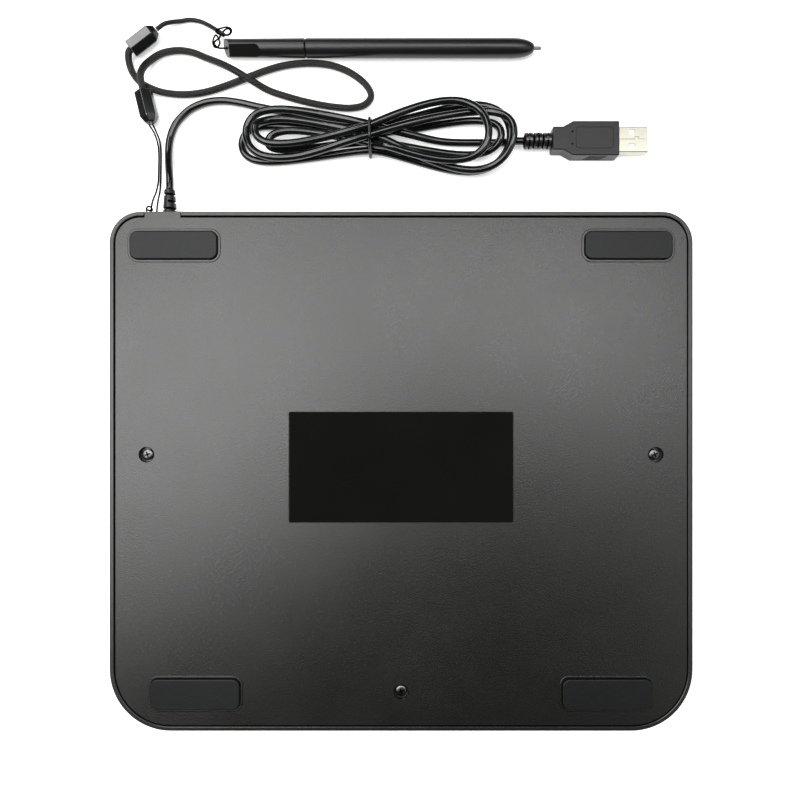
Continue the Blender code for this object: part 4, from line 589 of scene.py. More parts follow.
def hankHalf(half):
    side, way, reach, bulge, waist, fullness, soft, tip, layers = half
    points = []
    for share in np.arange(0, 1, 1 / usb["pointsPerHalf"]):
        turn = pi * (share - 0.03 * sin(4 * pi * share))
        out = sin(turn)
        mixed = ease(share)
        u = side * between(reach, mixed) * out * (1 + fullness * cos(turn) ** 2) * strandStep
        wave = way * between(bulge, mixed) * sin(2 * turn) * out ** between(soft, mixed)
        across = between(waist, (1 - cos(turn)) / 2) + wave
        layer = layers[0] + tip * out**6
        for change, start, end in layers[1:]:
            layer += change * ramp(share, start, end)
        points.append((u, across * strandStep, usb["floor"] + layer * strandStep + tieLift(u)))
    return points


def hankStart():
    reach, offset = (steps * strandStep for steps in usb["startSteps"])
    waist = hankHalves[0][4][0] * strandStep
    points = []
    for share in np.linspace(0, 1, 24, endpoint=False):
        left = 1 - share
        v = between((offset, waist), ease(share)) - usb["startSlope"] * reach * share * left**2
        points.append((-reach * left, v, usb["floor"] + tieLift(-reach * left)))
    return points


def hankEnd():
    end = bootStart - usb["clear"] - usb["tie"][0]
    straight = end - usb["diameter"]
    level = usb["leaveLevel"] * strandStep
    plugV = usb["plugY"] - usb["tie"][1]
    points = []
    for u in np.linspace(0, straight, 72):
        steps = u / strandStep
        height = usb["floor"] + strandStep * (1 - ramp(steps, *usb["dive"]))
        height += (usb["plugHeight"] - usb["floor"]) * ramp(steps, usb["rise"], straight / strandStep)
        share = min(1.0, u / level)
        v = between((usb["wide"] * strandStep, plugV), ease(share))
        v -= usb["leaveSlope"] * level * share * (1 - share) ** 2
        points.append((u, v, height + tieLift(u)))
    points.append((end, plugV, usb["plugHeight"]))
    return points


def usbTrack():
    hank = hankStart()
    for half in hankHalves:
        hank += hankHalf(half)
    hank += hankEnd()
    hank = np.array([(u + usb["tie"][0], v + usb["tie"][1], z) for u, v, z in hank])
    first, second = Vector(hank[0]), Vector(hank[1])
    way = (second - first).normalized()
    exitPoint = Vector(usb["exit"])
    lead = [exitPoint, exitPoint + Vector((0, usb["diameter"], 0)), *inMetres(usb["lead"], usb["leadLevel"]),
            first - usb["diameter"] * way, first]
    leadTrack = smoothRoute(lead, 0.0008)
    return evenSteps(np.vstack([leadTrack, hank[1:]]), 0.0009)


def tieLoop():
    clear = usb["diameter"] / 2 + usb["clear"] + usb["tieWire"] / 2
    lift = usb["floor"] + usb["tieWire"] + usb["clear"]
    low = (1.5 * strandStep, lift)
    high = (0.54 * strandStep, lift + 2 * strandStep)
    lean = atan2(low[0] - high[0], high[1] - low[1])
    right = []
    for (v, z), start, end in ((low, -pi / 2, lean), (high, lean, pi / 2)):
        for turn in np.linspace(start, end, 9):
            reach = clear + usb["clear"] * max(0.0, cos(turn))
            right.append((v + reach * cos(turn), z + clear * sin(turn)))
    loop = right + [(-v, z) for v, z in reversed(right)]
    return [(usb["tie"][0], usb["tie"][1] + v, z) for v, z in loop]


clips = {"flats": 0.0075, "barrel": 0.0118, "nose": 0.0032, "socket": 0.002, "edge": 0.00045}
clipHalf = (clips["barrel"] + clips["nose"]) / 2
clipPlaces = {
    "pad": ((-0.1191, 0.1695), radians(-76.4), clips["flats"] / sqrt(3)),
    "pen": ((-0.1211, 0.2018), radians(38), clips["flats"] / 2),
}


def clipPoint(which, way, aside=0.0):
    # a point on a cord clip's axis, or beside it, this far from its middle
    (x, y), angle, height = clipPlaces[which]
    return (
        x + way * cos(angle) - aside * sin(angle),
        y + way * sin(angle) + aside * cos(angle), height)


tether = {
    "braid": 0.0032,
    "thin": 0.002,
    "thread": 0.0008,
    "clear": 0.0003,
    "holeHeight": 0.0105,
    "padBack": 0.118,
    "inside": 0.0035,
    "holes": (-0.1148, -0.1122),
    "levels": {"braid": 1.7, "thin": 1.1, "thread": 0.5},
    "braidRoute": (
        (-128.5, 192.6, 2.7), (-127.5, 188.2), (-125, 184.3), (-122.5, 182.1), (-119, 180.2), (-113, 178.1),
        (-106, 177.1), (-99, 177.2), (-92, 178.3), (-85, 180.4), (-78, 182.9), (-71, 185.7), (-64, 188.3),
        (-56, 190.5), (-48, 191.6), (-40, 191.7), (-32, 190.5), (-24, 187.3), (-17, 182), (-14.2, 176.5),
        (-17.2, 172.2), (-24, 170.6), (-34, 171.4), (-44, 173.3), (-54, 176), (-63, 179, 2), (-71, 182.8, 4.4),
        (-78, 186.6, 5.4), (-85, 190.6, 4), (-92, 194.2, 1.9), (-99, 197), (-106, 197.8), (-113, 196.5),
        (-118, 193, 2.4), (-120.9, 188.2, 4.6), (-121.8, 183.7, 5.5),
    ),
    "thinRoute": (
        (-111.2, 209.5, 3.4), (-108.2, 211, 2.2), (-104.5, 212.1), (-100, 212.7), (-95.5, 212), (-91.5, 210.2, 1.3),
        (-88, 207.7, 2.4), (-85.2, 205.3, 3.6), (-83.2, 203.7, 4.2),
    ),
    "threadRoutes": (
        ((-116.3, 158.2, 3.1), (-115.5, 154.5, 1.2), (-115.1, 150), (-115.1, 145), (-115.2, 140), (-115.3, 135, 1),
         (-115.3, 130, 3.5), (-115.1, 126, 7), (-114.8, 122.2, 9.8)),
        ((-115.2, 158.4, 3.2), (-114.4, 155, 1.2), (-114.1, 150), (-114.1, 145), (-114.2, 140), (-114.1, 135, 1),
         (-113.5, 130, 3.5), (-112.8, 126, 7), (-112.2, 122.2, 9.8)),
    ),
    "penRoute": (
        (-79.5, 197.4, 4.4), (-85, 197.4, 4.4), (-86.8, 198.4, 4.2), (-87.8, 200.1, 3.8), (-87.3, 201.8, 3),
        (-86.2, 203.1, 2.1), (-85.5, 204.5, 2), (-84.5, 205.7, 2.4), (-82.8, 206.5, 3.6), (-80.9, 206.2, 5),
        (-79.7, 204.9, 5.6), (-80, 203.4, 5.6), (-81.1, 202.7, 5.8),
    ),
    "blendEnds": ((-0.111, 0.2095, 0.003), (-0.0885, 0.2095, 0.003)),
    "penLoopUpper": (
        (-81.1, 202.7, 6), (-83, 202.5, 6.3), (-85, 203, 6.4), (-86.4, 204.3, 5.8), (-86, 205.9, 4.8),
        (-84.4, 206.9, 4.2), (-82, 207.3, 4.4), (-79.9, 206.4, 5), (-79.2, 204.7, 5.6), (-79.9, 203.2, 5.9),
    ),
    "penLoopLower": (
        (-84.6, 199, 5.8), (-85, 200.5, 6.4), (-85.9, 202.2, 6.2), (-87.2, 203, 4.8), (-88.4, 201.6, 3.6),
        (-88.5, 199.8, 3.4), (-87.5, 198.2, 3.8), (-85.9, 197.7, 4.8),
    ),
    "threadKnot": (
        (-117, 119.4, 10.4), (-116.6, 120.5, 11), (-115.6, 121.1, 11.4), (-114.5, 120.6, 11.4), (-114, 119.5, 11.2),
        (-114.8, 119, 11.8), (-115.8, 119.3, 12),
    ),
}


usbPoints = usbTrack()
usbCable = addTube("usbCable", usbPoints, usb["diameter"])
keepOn(usbCable, "pad", "jacket", "cable_skin", "usb_lead", "usb_hank")
cableTie = addTube("cableTie", tieLoop(), usb["tieWire"], sides=12, closed=True)
keepOn(cableTie, "pad", "wire", "thread_black", "cable_tie")

floorDepth = clipHalf - clips["socket"] + tether["clear"]
mouth = clipHalf + tether["braid"] / 3
braidTrack = smoothRoute(
    [clipPoint("pen", -floorDepth), clipPoint("pen", -mouth),
     *inMetres(tether["braidRoute"], tether["levels"]["braid"]),
     clipPoint("pad", -mouth), clipPoint("pad", -floorDepth)], 0.0008)
tetherBraid = addTube("tetherBraid", braidTrack, tether["braid"], sides=20)
keepOn(tetherBraid, "pad", "braid", "braid_fabric", "tether_braid")

thinStart = clipHalf + tether["clear"]
thinTrack = smoothRoute(
    [clipPoint("pen", thinStart), clipPoint("pen", thinStart + tether["thin"]),
     *inMetres(tether["thinRoute"], tether["levels"]["thin"])], 0.0005)
thinCord = addTube("thinCord", thinTrack, tether["thin"])
stretchTo(thinCord, ("pad", "pen"), *tether["blendEnds"], "fineBraid", "braid_fabric", "thin_cord")

padThreads = []
for side, way, holeX, route in zip(("Left", "Right"), (-1, 1), tether["holes"], tether["threadRoutes"]):
    aside = way * tether["thread"]
    start = clipHalf + tether["clear"]
    threadTrack = smoothRoute(
        [clipPoint("pad", start, aside), clipPoint("pad", start + tether["thread"], aside),
         *inMetres(route, tether["levels"]["thread"]),
         (holeX, tether["padBack"] + tether["thread"], tether["holeHeight"]),
         (holeX, tether["padBack"] - tether["inside"], tether["holeHeight"])], 0.0004)[::-1]
    thread = addTube("padThread" + side, threadTrack, tether["thread"], sides=10)
    keepOn(thread, "pad", "thread", "thread_black", "pad_thread_" + side.lower())
    padThreads.append((thread, threadTrack))

penThread = addTube("penThread", smoothRoute(inMetres(tether["penRoute"]), 0.0003), tether["thread"], sides=10)
stretchTo(penThread, ("pad", "pen"), *tether["blendEnds"], "thread", "thread_black", "pen_thread")


# the thread's second turns round the pen's tail, and its knot at the pad's edge
for name, body in (("penLoopUpper", "pen"), ("penLoopLower", "pen"), ("threadKnot", "pad")):
    knots = [Vector(p) for p in inMetres(tether[name])]
    # each knot in turn, with the one before it and the two after it
    fours = zip(knots[-1:] + knots, knots, knots[1:] + knots, knots[2:] + knots)
    loop = [curvePoint(*four, share) for four in fours for share in np.linspace(0, 1, 10, endpoint=False)]
    keepOn(addTube(name, loop, tether["thread"], sides=10, closed=True), body, "thread", "thread_black")
print("cords laid")


# Cord clips: six-sided crimp barrels with a socket for the braid and a tapered nose

def addClip(name, which, spin, *nodes):
    corner = clips["flats"] / sqrt(3)
    socket = tether["braid"] / 2 + tether["clear"]
    barrel, nose = clips["barrel"], clips["nose"]
    length = barrel + nose
    rings = [(socket, clips["socket"]), (socket, 0.0), (corner * 0.97, 0.0), (corner, 0.0003), (corner, barrel),
             (corner * 0.86, barrel + 0.35 * nose), (corner * 0.66, barrel + 0.75 * nose), (corner * 0.5, length)]
    clip = addTurned(name, rings, sides=6)
    softenEdges(clip, clips["edge"], angle=30)
    clip.matrix_world = (
        Matrix.Translation(clipPoint(which, 0)) @ Matrix.Rotation(clipPlaces[which][1], 4, "Z")
        @ Matrix.Rotation(pi / 2, 4, "Y") @ Matrix.Rotation(spin, 4, "Z")
        @ Matrix.Translation((0, 0, -length / 2)))
    return finishPiece(settle(clip), "pad", "clip", "plug_plastic", *nodes)


padClip = addClip("padClip", "pad", radians(30), "tether_end_pad")
penClip = addClip("penClip", "pen", 0.0, "tether_end_pen")
print("clips made")


# Pad housing: the shell whose rim shows round the cover, and whose face holds the glass
housing = {
    "width": 0.265, "depth": 0.236, "height": 0.014,
    "corners": (0.028, 0.014), "backRound": 0.0006, "faceRound": 0.0014,
    "wall": 0.002, "faceWall": 0.0026,
    "glass": (0.227, 0.146), "glassCentre": (0.0, 0.035), "glassDepth": 0.0014, "glassCorner": 0.0033,
    "ledge": 0.004,
    "notch": ((-0.1169, 0.115, 0.0028), (-0.0998, 0.119, 0.015)),
    "lip": 0.00025, "lipDrop": 0.00018, "glassGap": 0.0006, "windowCorner": 0.003,
}


def addHousing():
    width, depth, height = housing["width"], housing["depth"], housing["height"]
    lip, drop, ledge = housing["lip"], housing["lipDrop"], housing["ledge"]
    shell = addSlab(
        "housingShell", (width, depth, height), (0, 0, height / 2), housing["corners"],
        housing["backRound"], housing["faceRound"], cornerSegments=20, roundSegments=5)
    chooseOnly(shell)
    editMode()
    pickFaces(lambda middle, normal: normal.z > 0.9 and middle.z > height - 0.00001)
    bpy.ops.mesh.inset(thickness=housing["wall"] - housing["backRound"] - lip, depth=0)
    bpy.ops.mesh.inset(thickness=lip, depth=-drop)
    pushOut(0, 0, housing["faceWall"] - height + drop)
    objectMode()
    glassX, glassY = housing["glass"]
    centre = (*housing["glassCentre"], 0)
    pocket = addSlab(
        "glassPocket", (glassX + housing["glassGap"], glassY + housing["glassGap"], 2 * housing["glassDepth"]),
        centre, (housing["glassCorner"],) * 2, cornerSegments=6)
    window = addSlab(
        "windowOpening", (glassX - 2 * ledge, glassY - 2 * ledge, 0.012), centre, (housing["windowCorner"],) * 2,
        cornerSegments=6)
    carve(shell, pocket, window, addBlock("cableNotch", *housing["notch"]))
    finishPiece(shell, "pad", "case", "case_plastic", "front_housing")


addHousing()


# Bottom cover, with its tongue, foot rings and pockets, screw recesses and label recess
cover = {
    "inset": 0.0026, "top": 0.014, "thickness": 0.002, "edge": 0.00035,
    "tongue": ((-0.1166, 0.1128), (-0.1001, 0.118)), "tongueFloor": 0.0031, "tongueWall": 0.002, "tongueEdge": 0.0003,
    "feet": {
        "back_left": (-0.103, 0.1025, 0.0396, 0.0127), "back_right": (0.103, 0.1025, 0.0396, 0.0127),
        "front_left": (-0.0933, -0.1008, 0.0406, 0.0139), "front_right": (0.0933, -0.1008, 0.0406, 0.0139),
    },
    "footCorner": 0.0034, "footProud": 0.0016, "footPocket": 0.001, "footRound": 0.0006,
    "ringWidth": 0.0013, "ringProud": 0.00035, "gap": 0.0003,
    "label": (0.1016, 0.0502, 0.0019), "labelRecess": 0.0005, "labelCorner": 0.0009,
    "screws": {"left": (-0.1156, 0.0076), "right": (0.1156, 0.0076), "front": (0.0, -0.1002)},
    "recess": 0.00335, "recessDepth": 0.003, "recessFloor": 0.0005, "recessRound": 0.0003, "cupWall": 0.0014,
    "shank": 0.00175, "thread": 0.0008, "gland": (-0.1076, 0.0068, 0.0027),
}


def addCover():
    inset, gap = cover["inset"], cover["gap"]
    top, thickness = cover["top"], cover["thickness"]
    plate = addSlab(
        "bottomCover", (housing["width"] - 2 * inset, housing["depth"] - 2 * inset, thickness),
        (0, 0, top - thickness / 2), tuple(radius - inset for radius in housing["corners"]), cover["edge"],
        cornerSegments=20)
    (left, front), (right, back) = cover["tongue"]
    flap = addBlock("tongueTop", (left, front, top - thickness), (right, back, top))
    wall = addBlock("tongueWall", (left, back - cover["tongueWall"], cover["tongueFloor"]), (right, back, top))
    carve(flap, wall, operation="UNION")
    softenEdges(flap, cover["tongueEdge"], segments=2)
    carve(plate, flap, operation="UNION")
    proud, corner = cover["ringProud"], cover["footCorner"]
    for x, y, length, width in cover["feet"].values():
        wide = cover["ringWidth"]
        carve(plate, addSlab(
            "footRing", (length + 2 * wide, width + 2 * wide, 0.001), (x, y, top + proud - 0.0005),
            (corner + wide,) * 2, topRound=proud * 0.9, cornerSegments=8), operation="UNION")
        carve(plate, addSlab(
            "footPocket", (length + 2 * gap, width + 2 * gap, 0.004), (x, y, top - cover["footPocket"] + 0.002),
            (corner + gap,) * 2, cornerSegments=8))
    width, depth, labelY = cover["label"]
    carve(plate, addSlab(
        "labelRecess", (width + 2 * gap, depth + 2 * gap, 2 * cover["labelRecess"]), (0, labelY, top),
        (cover["labelCorner"],) * 2, cornerSegments=4))
    radius, deep, cup = cover["recess"], -cover["recessDepth"], cover["recess"] + cover["cupWall"]
    floor, lip = deep + cover["recessFloor"], radius + cover["recessRound"]
    for x, y in cover["screws"].values():
        sink = addTurned("recess", [
            (cover["shank"], -thickness - 0.004), (cover["shank"], floor), (radius, floor),
            (radius, -0.00025), (lip, 0.00005), (lip, 0.002)], sides=40)
        boss = addTurned("boss", [(cup, deep - cover["cupWall"]), (cup, -0.001)], sides=40)
        carve(plate, layDown(boss, (x, y, top), (0, 0, 0)), operation="UNION")
        carve(plate, layDown(sink, (x, y, top), (0, 0, 0)))
    for x, height, radius, sides in (
        *((x, tether["holeHeight"], cover["thread"], 16) for x in tether["holes"]),
        (*cover["gland"], 32),
    ):
        hole = addTurned("hole", [(radius, -0.004), (radius, 0.002)], sides=sides)
        carve(plate, layDown(hole, (x, back, height), alongY))
    finishPiece(plate, "pad", "cover", "case_plastic", "bottom_cover")


addCover()
print("housing and cover made")


# Rubber feet
bottom, top = cover["top"] - cover["footPocket"] + cover["gap"], cover["top"] + cover["footProud"]
for side, (x, y, length, width) in cover["feet"].items():
    foot = addSlab(
        "foot_" + side + "_pad", (length, width, top - bottom), (x, y, (top + bottom) / 2),
        (cover["footCorner"],) * 2, topRound=cover["footRound"], roundSegments=4)
    finishPiece(foot, "pad", "foot", "dark_rubber", "foot_" + side)


# Pan-head screws with a cross drive
screw = {"head": 0.0026, "height": 0.0017, "shank": 0.00145, "length": 0.0065,
         "edge": 0.0006, "rise": 0.0002, "slot": 0.0008, "slotLength": 0.0034, "slotDepth": 0.0013,
         "slotTaper": (0.5, 0.6, 1), "slotReach": 0.0018, "turn": radians(20)}


def addScrew(side, place):
    bottom = cover["top"] - cover["recessDepth"] + cover["gap"]
    head, height, shank, edge, rise = (screw[key] for key in ("head", "height", "shank", "edge", "rise"))
    rings = [(0.0002, -screw["length"]), (shank, -screw["length"] + shank), (shank, 0.0), (head, 0.0)]
    for turn in np.linspace(radians(90), radians(25), 6):
        rings.append((head - edge + edge * sin(turn), height - rise - edge + edge * cos(turn)))
    for share in (0.75, 0.5, 0.25, 0.05):
        rings.append(((head - edge) * share, height - rise * share**2))
    made = addTurned("coverScrew_" + side, rings, sides=32)
    length, width = screw["slotLength"] / 2, screw["slot"] / 2
    for turn in (0, pi / 2):
        slot = addBlock("slot", (-length, -width, height - screw["slotDepth"]), (length, width, height + 0.001))
        chooseOnly(slot)
        editMode()
        pickFaces(lambda middle, normal: normal.z < -0.9)
        bpy.ops.transform.resize(value=screw["slotTaper"])
        objectMode()
        carve(made, layDown(slot, (0, 0, 0), (0, 0, turn)))
    layDown(made, (*place, bottom), (0, 0, screw["turn"]))
    finishPiece(made, "pad", "screw", "screw_steel", "cover_screw_" + side)
    # painted shade in the cross slots
    paintSlitShade(made, lambda middle: 0.0003 < middle.z - bottom < height - 0.0003
                and hypot(middle.x - place[0], middle.y - place[1]) < screw["slotReach"])


for side, place in cover["screws"].items():
    addScrew(side, place)


# Cable gland: a grooved taper with a flange behind the wall
gland = {"neck": 0.0024, "base": 0.0031, "tip": 0.0024, "length": 0.0119, "flange": 0.0036, "flangeLength": 0.0014,
         "outside": 0.1183, "inside": -0.0026, "grooves": (0.22, 0.78), "halfGroove": 0.5,
         "grooveDepth": 0.0013, "grooveWidth": 0.0011, "grooveRings": ((-0.5, 0), (-0.36, 0.9), (0.36, 0.9), (0.5, 0)),
         "edge": 0.00012}


def addGland():
    neck, base, tip, length = (gland[key] for key in ("neck", "base", "tip", "length"))
    flange, inside, deep, wide = (gland[key] for key in ("flange", "inside", "grooveDepth", "grooveWidth"))
    x, height = cover["gland"][:2]
    rings = [(flange, inside - gland["flangeLength"]), (flange, inside), (neck, inside), (neck, 0.0),
             (base - 0.0002, 0.0), (base, 0.0002)]
    for share in gland["grooves"]:
        radius = base + (tip - base) * share
        for offset, depth in gland["grooveRings"]:
            rings.append((radius - depth * deep, share * length + offset * wide))
    rings += [(tip, length - 0.0004), (tip - 0.0003, length)]
    made = addTurned("cableGland", rings, sides=40)
    middle, radius = gland["halfGroove"] * length, (base + tip) / 2
    cutter = addTurned("halfGroove", [(radius + 0.002, middle - wide / 2), (radius + 0.002, middle + wide / 2)])
    core = addTurned("grooveCore", [(radius - deep, middle - 0.002), (radius - deep, middle + 0.002)])
    carve(cutter, core, addBlock("leftHalf", (-0.006, -0.006, 0), (0.0, 0.006, length)))
    carve(made, cutter)
    softenEdges(made, gland["edge"], segments=2)
    layDown(made, (x, gland["outside"], height), alongY)
    finishPiece(made, "pad", "gland", "plug_plastic", "cable_gland")

    def inGroove(middle):
        share = (middle.y - gland["outside"]) / length
        radius = hypot(middle.x - x, middle.z - height)
        return 0.05 < share < 0.95 and radius < base + (tip - base) * share - 0.0003

    # painted shade in the grooves
    paintSlitShade(made, inGroove)


addGland()
print("small pieces made")


# USB plug: relief rings, moulded grip, folded shell and the insulator with its contacts
plug = {"ring": 0.00375, "ringLength": 0.0036, "ringGap": 0.0007, "rings": 3, "core": 0.0022,
        "ringEdge": 0.0003, "slit": 0.0004, "slitDepth": 0.0013,
        "width": 0.016, "neck": 0.0109, "thickness": 0.0077, "length": 0.031,
        "neckLength": 0.005, "shoulder": 0.0045, "round": 0.0007,
        "grips": 7, "gripPitch": 0.00125, "gripWidth": 0.00065, "gripDepth": 0.0006, "gripStart": 0.0166,
        "gripSlant": radians(25), "panelEnds": (0.0105, 0.0281), "panelWidth": 0.0102,
        "panelRims": (("groove", 0, 0.0006, 0.0016), ("island", 0.0008, 0.001, 0.0012)),
        "gripMargin": 0.0009, "dimple": (0.009, 0.00285),
        "dimpleRings": ((0.00025, -0.0004), (0.00045, -0.0002), (0.00055, 0.0005)),
        "shellWidth": 0.012, "shellThickness": 0.0045, "shellLength": 0.0133, "wall": 0.0003,
        "shellCorners": ((0.0006, 4), (0.0003, 3)), "holeSide": 0.0024, "holeShare": 0.45, "holeY": 0.0033,
        "seam": 0.00022, "seamStep": (0.55, 0.68, 0.0011), "tongueWidth": 0.0108, "tongueThickness": 0.0017,
        "tongueShare": 0.86, "tongueEdge": 0.0002, "contactYs": (-0.0035, -0.001, 0.001, 0.0035),
        "contactEdge": 0.00006}
plugY, plugZ = usb["plugY"], usb["plugHeight"]
bodyStart = bootStart + plug["rings"] * (plug["ringLength"] + plug["ringGap"]) - plug["ringGap"] + usb["clear"]
shellStart = bodyStart + plug["length"] + usb["clear"]


def addBoot():
    ring, core, slit, length = (plug[key] for key in ("ring", "core", "slit", "ringLength"))
    edge, deep = plug["ringEdge"], plug["slitDepth"]
    starts = [number * (length + plug["ringGap"]) for number in range(plug["rings"])]
    rings = []
    for start in starts:
        middle, end = start + length / 2, start + length
        rings += [(core, start), (ring - edge, start), (ring, start + edge), (ring, middle - slit),
                  (ring - deep, middle - slit * 0.7), (ring - deep, middle + slit * 0.7), (ring, middle + slit),
                  (ring, end - edge), (ring - edge, end), (core, end)]
    boot = addTurned("plugBoot", rings, sides=40)
    # short bridges join each ring's two halves, by turns on the flanks and on the top
    for number, start in enumerate(starts):
        middle = start + length / 2
        for turn in (0, pi):
            bridge = addBlock(
                "bridge", (ring - 0.0012, -0.0009, middle - 0.001), (ring - 0.00015, 0.0009, middle + 0.001))
            layDown(bridge, (0, 0, 0), (0, 0, turn + (number % 2) * pi / 2))
            carve(boot, bridge, operation="UNION")
    layDown(boot, (bootStart, plugY, plugZ), alongX)
    finishPiece(boot, "pad", "boot", "plug_plastic", "plug_boot")
    # painted shade in the ring slits
    paintSlitShade(boot, lambda middle: hypot(middle.y - plugY, middle.z - plugZ) < ring - 0.0004)


def addGrip():
    neck, thickness = plug["neck"] / 2, plug["thickness"]
    start, shoulder = plug["neckLength"], plug["shoulder"]
    grip = addBlock(
        "plugGrip", (bodyStart, plugY - neck, plugZ - thickness / 2),
        (bodyStart + start, plugY + neck, plugZ + thickness / 2))
    editMode()
    pickFaces(lambda middle, normal: normal.x > 0.9)
    for reach, factor in ((shoulder, plug["width"] / 2 / neck), (plug["length"] - start - shoulder, 1)):
        pushOut(reach, 0, 0)
        bpy.ops.transform.resize(value=(1, factor, 1), center_override=(0, plugY, plugZ))
    objectMode()
    softenEdges(grip, plug["round"], segments=5, angle=60)
    softenEdges(grip, plug["round"], angle=20)
    return grip


def carveGrip(grip):
    half, side = plug["thickness"] / 2, plug["width"] / 2
    (start, end), width = plug["panelEnds"], plug["panelWidth"]
    for way in (-1, 1):
        middle = (bodyStart + (start + end) / 2, plugY, plugZ + way * half)
        groove, island = (
            addSlab(name, (end - start - less, width - less, high), middle, (corner, corner), cornerSegments=6)
            for name, less, high, corner in plug["panelRims"])
        carve(groove, island)
        carve(grip, groove)
    dimpleX, dimpleY = plug["dimple"]
    for y in (-dimpleY, dimpleY):
        dimple = addTurned("dimple", plug["dimpleRings"], sides=20)
        carve(grip, layDown(dimple, (bodyStart + dimpleX, plugY + y, plugZ + half), (0, 0, 0)))
    wide, deep, tall = plug["gripWidth"] / 2, plug["gripDepth"], half - plug["gripMargin"]
    gripStart, pitch = plug["gripStart"], plug["gripPitch"]
    slots = []
    for way in (-1, 1):
        for number in range(plug["grips"]):
            slot = addBlock("gripSlot", (-wide, -deep, -tall), (wide, deep, tall))
            place = (bodyStart + gripStart + number * pitch, plugY + way * side, plugZ)
            slots.append(layDown(slot, place, (0, plug["gripSlant"], 0)))
    chooseOnly(slots[0])
    for slot in slots:
        slot.select_set(True)
    bpy.ops.object.join()
    carve(grip, slots[0])
    finishPiece(grip, "pad", "plug", "plug_plastic", "plug_body")

    def inSlit(middle):
        along, aside, up = middle.x - bodyStart, abs(middle.y - plugY), middle.z - plugZ
        dimple = abs(along - dimpleX) < 0.0007 and abs(aside - dimpleY) < 0.0007
        rib = -0.002 < along - gripStart < plug["grips"] * pitch + 0.001 and 0.00005 < side - aside < 0.0007
        return dimple and up < half - 0.00005 or rib and abs(up) < half - 0.0008

    # painted shade in the grip slots and the dimples
    paintSlitShade(grip, inSlit)


def addShell():
    length, wall, seam = plug["shellLength"], plug["wall"], plug["seam"]
    half = Vector((0, plug["shellWidth"] / 2, plug["shellThickness"] / 2))
    low = Vector((shellStart, plugY, plugZ)) - half
    high = Vector((shellStart + length, plugY, plugZ)) + half
    thin = Vector((-0.001, wall, wall))
    blocks = []
    for name, first, last, (radius, segments) in zip(
            ("plugShell", "shellHollow"), (low, low + thin), (high, high - thin), plug["shellCorners"]):
        blocks.append(addBlock(name, first, last))
        editMode()
        pickEdges(lambda a, b: abs(a.x - b.x) > length / 2)
        bpy.ops.mesh.bevel(offset=radius, segments=segments, affect="EDGES")
        objectMode()
    steel, hollow = blocks
    carve(steel, hollow)
    size = (plug["holeSide"], plug["holeSide"], 0.02)
    for y in (-plug["holeY"], plug["holeY"]):
        place = (shellStart + plug["holeShare"] * length, plugY + y, plugZ)
        carve(steel, addSlab("shellHole", size, place, (0.0002, 0.0002), cornerSegments=2))
    # the folded sheet's seam runs along the upper face, with one interlocking step
    start, end, step = plug["seamStep"]
    cuts = [(low.x + first * length - 0.0001, low.x + last * length + 0.0001, aside, aside)
            for first, last, aside in ((0.0, start, 0.0), (start, end, step), (end, 1.0, 0.0))]
    for share in (start, end):
        x = low.x + share * length
        cuts.append((x - seam / 2, x + seam / 2, 0.0, step))
    for left, right, front, back in cuts:
        carve(steel, addBlock(
            "seam", (left, plugY + front - seam / 2, high.z - 2 * wall),
            (right, plugY + back + seam / 2, high.z + 0.001)))
    finishPiece(steel, "pad", "shell", "bright_steel", "plug_shell")


def addInsulator():
    top = plugZ + plug["shellThickness"] / 2 - plug["wall"] - usb["clear"]
    bottom, half = top - plug["tongueThickness"], plug["tongueWidth"] / 2
    end = shellStart + plug["tongueShare"] * plug["shellLength"]
    tongue = addBlock("plugInsulator", (shellStart, plugY - half, bottom), (end, plugY + half, top))
    softenEdges(tongue, plug["tongueEdge"], segments=2)
    centres = [plugY + y for y in plug["contactYs"]]
    for y in centres:
        carve(tongue, addBlock(
            "channel", (end - 0.009, y - 0.0005, bottom - 0.001), (end - 0.0006, y + 0.0005, bottom + 0.0003)))
    finishPiece(tongue, "pad", "white", "white_plastic", "plug_tongue")
    for number, y in enumerate(centres):
        strip = addBlock(
            f"plugContact_{number}", (end - 0.0088, y - 0.0004, bottom + 0.00002),
            (end - 0.0008, y + 0.0004, bottom + 0.0002))
        softenEdges(strip, plug["contactEdge"], segments=2)
        finishPiece(strip, "pad", "contact", "bright_steel")


addBoot()
carveGrip(addGrip())
addShell()
addInsulator()
print("plug made")


# Pen, along X with its nib to the right
pen = {"y": 0.1974, "height": 0.0044, "tail": -0.0848, "split": -0.0447, "nose": 0.0505, "noseEnd": 0.0621,
       "nibTip": 0.0658, "tailRadius": 0.0039, "splitRadius": 0.0042, "gripRadius": 0.0043, "noseRadius": 0.0016,
       "slant": radians(19), "lean": radians(24), "hole": 0.0009,
       "flatEnd": 0.0192, "flatDepth": 0.0011, "flatWidth": 0.0058, "flatTurn": radians(47), "flatCorner": 0.0024,
       "cutEdge": 0.0002, "halfSplit": 0.00015, "edge": 0.0003, "spigot": 0.0028,
       "nib": 0.00085, "nibHole": 0.00125, "nibLength": 0.028,
       "springRadius": 0.0018, "springWire": 0.0005, "springTurns": 5}


def layPen(piece):
    return layDown(piece, (0, pen["y"], pen["height"]), alongX)


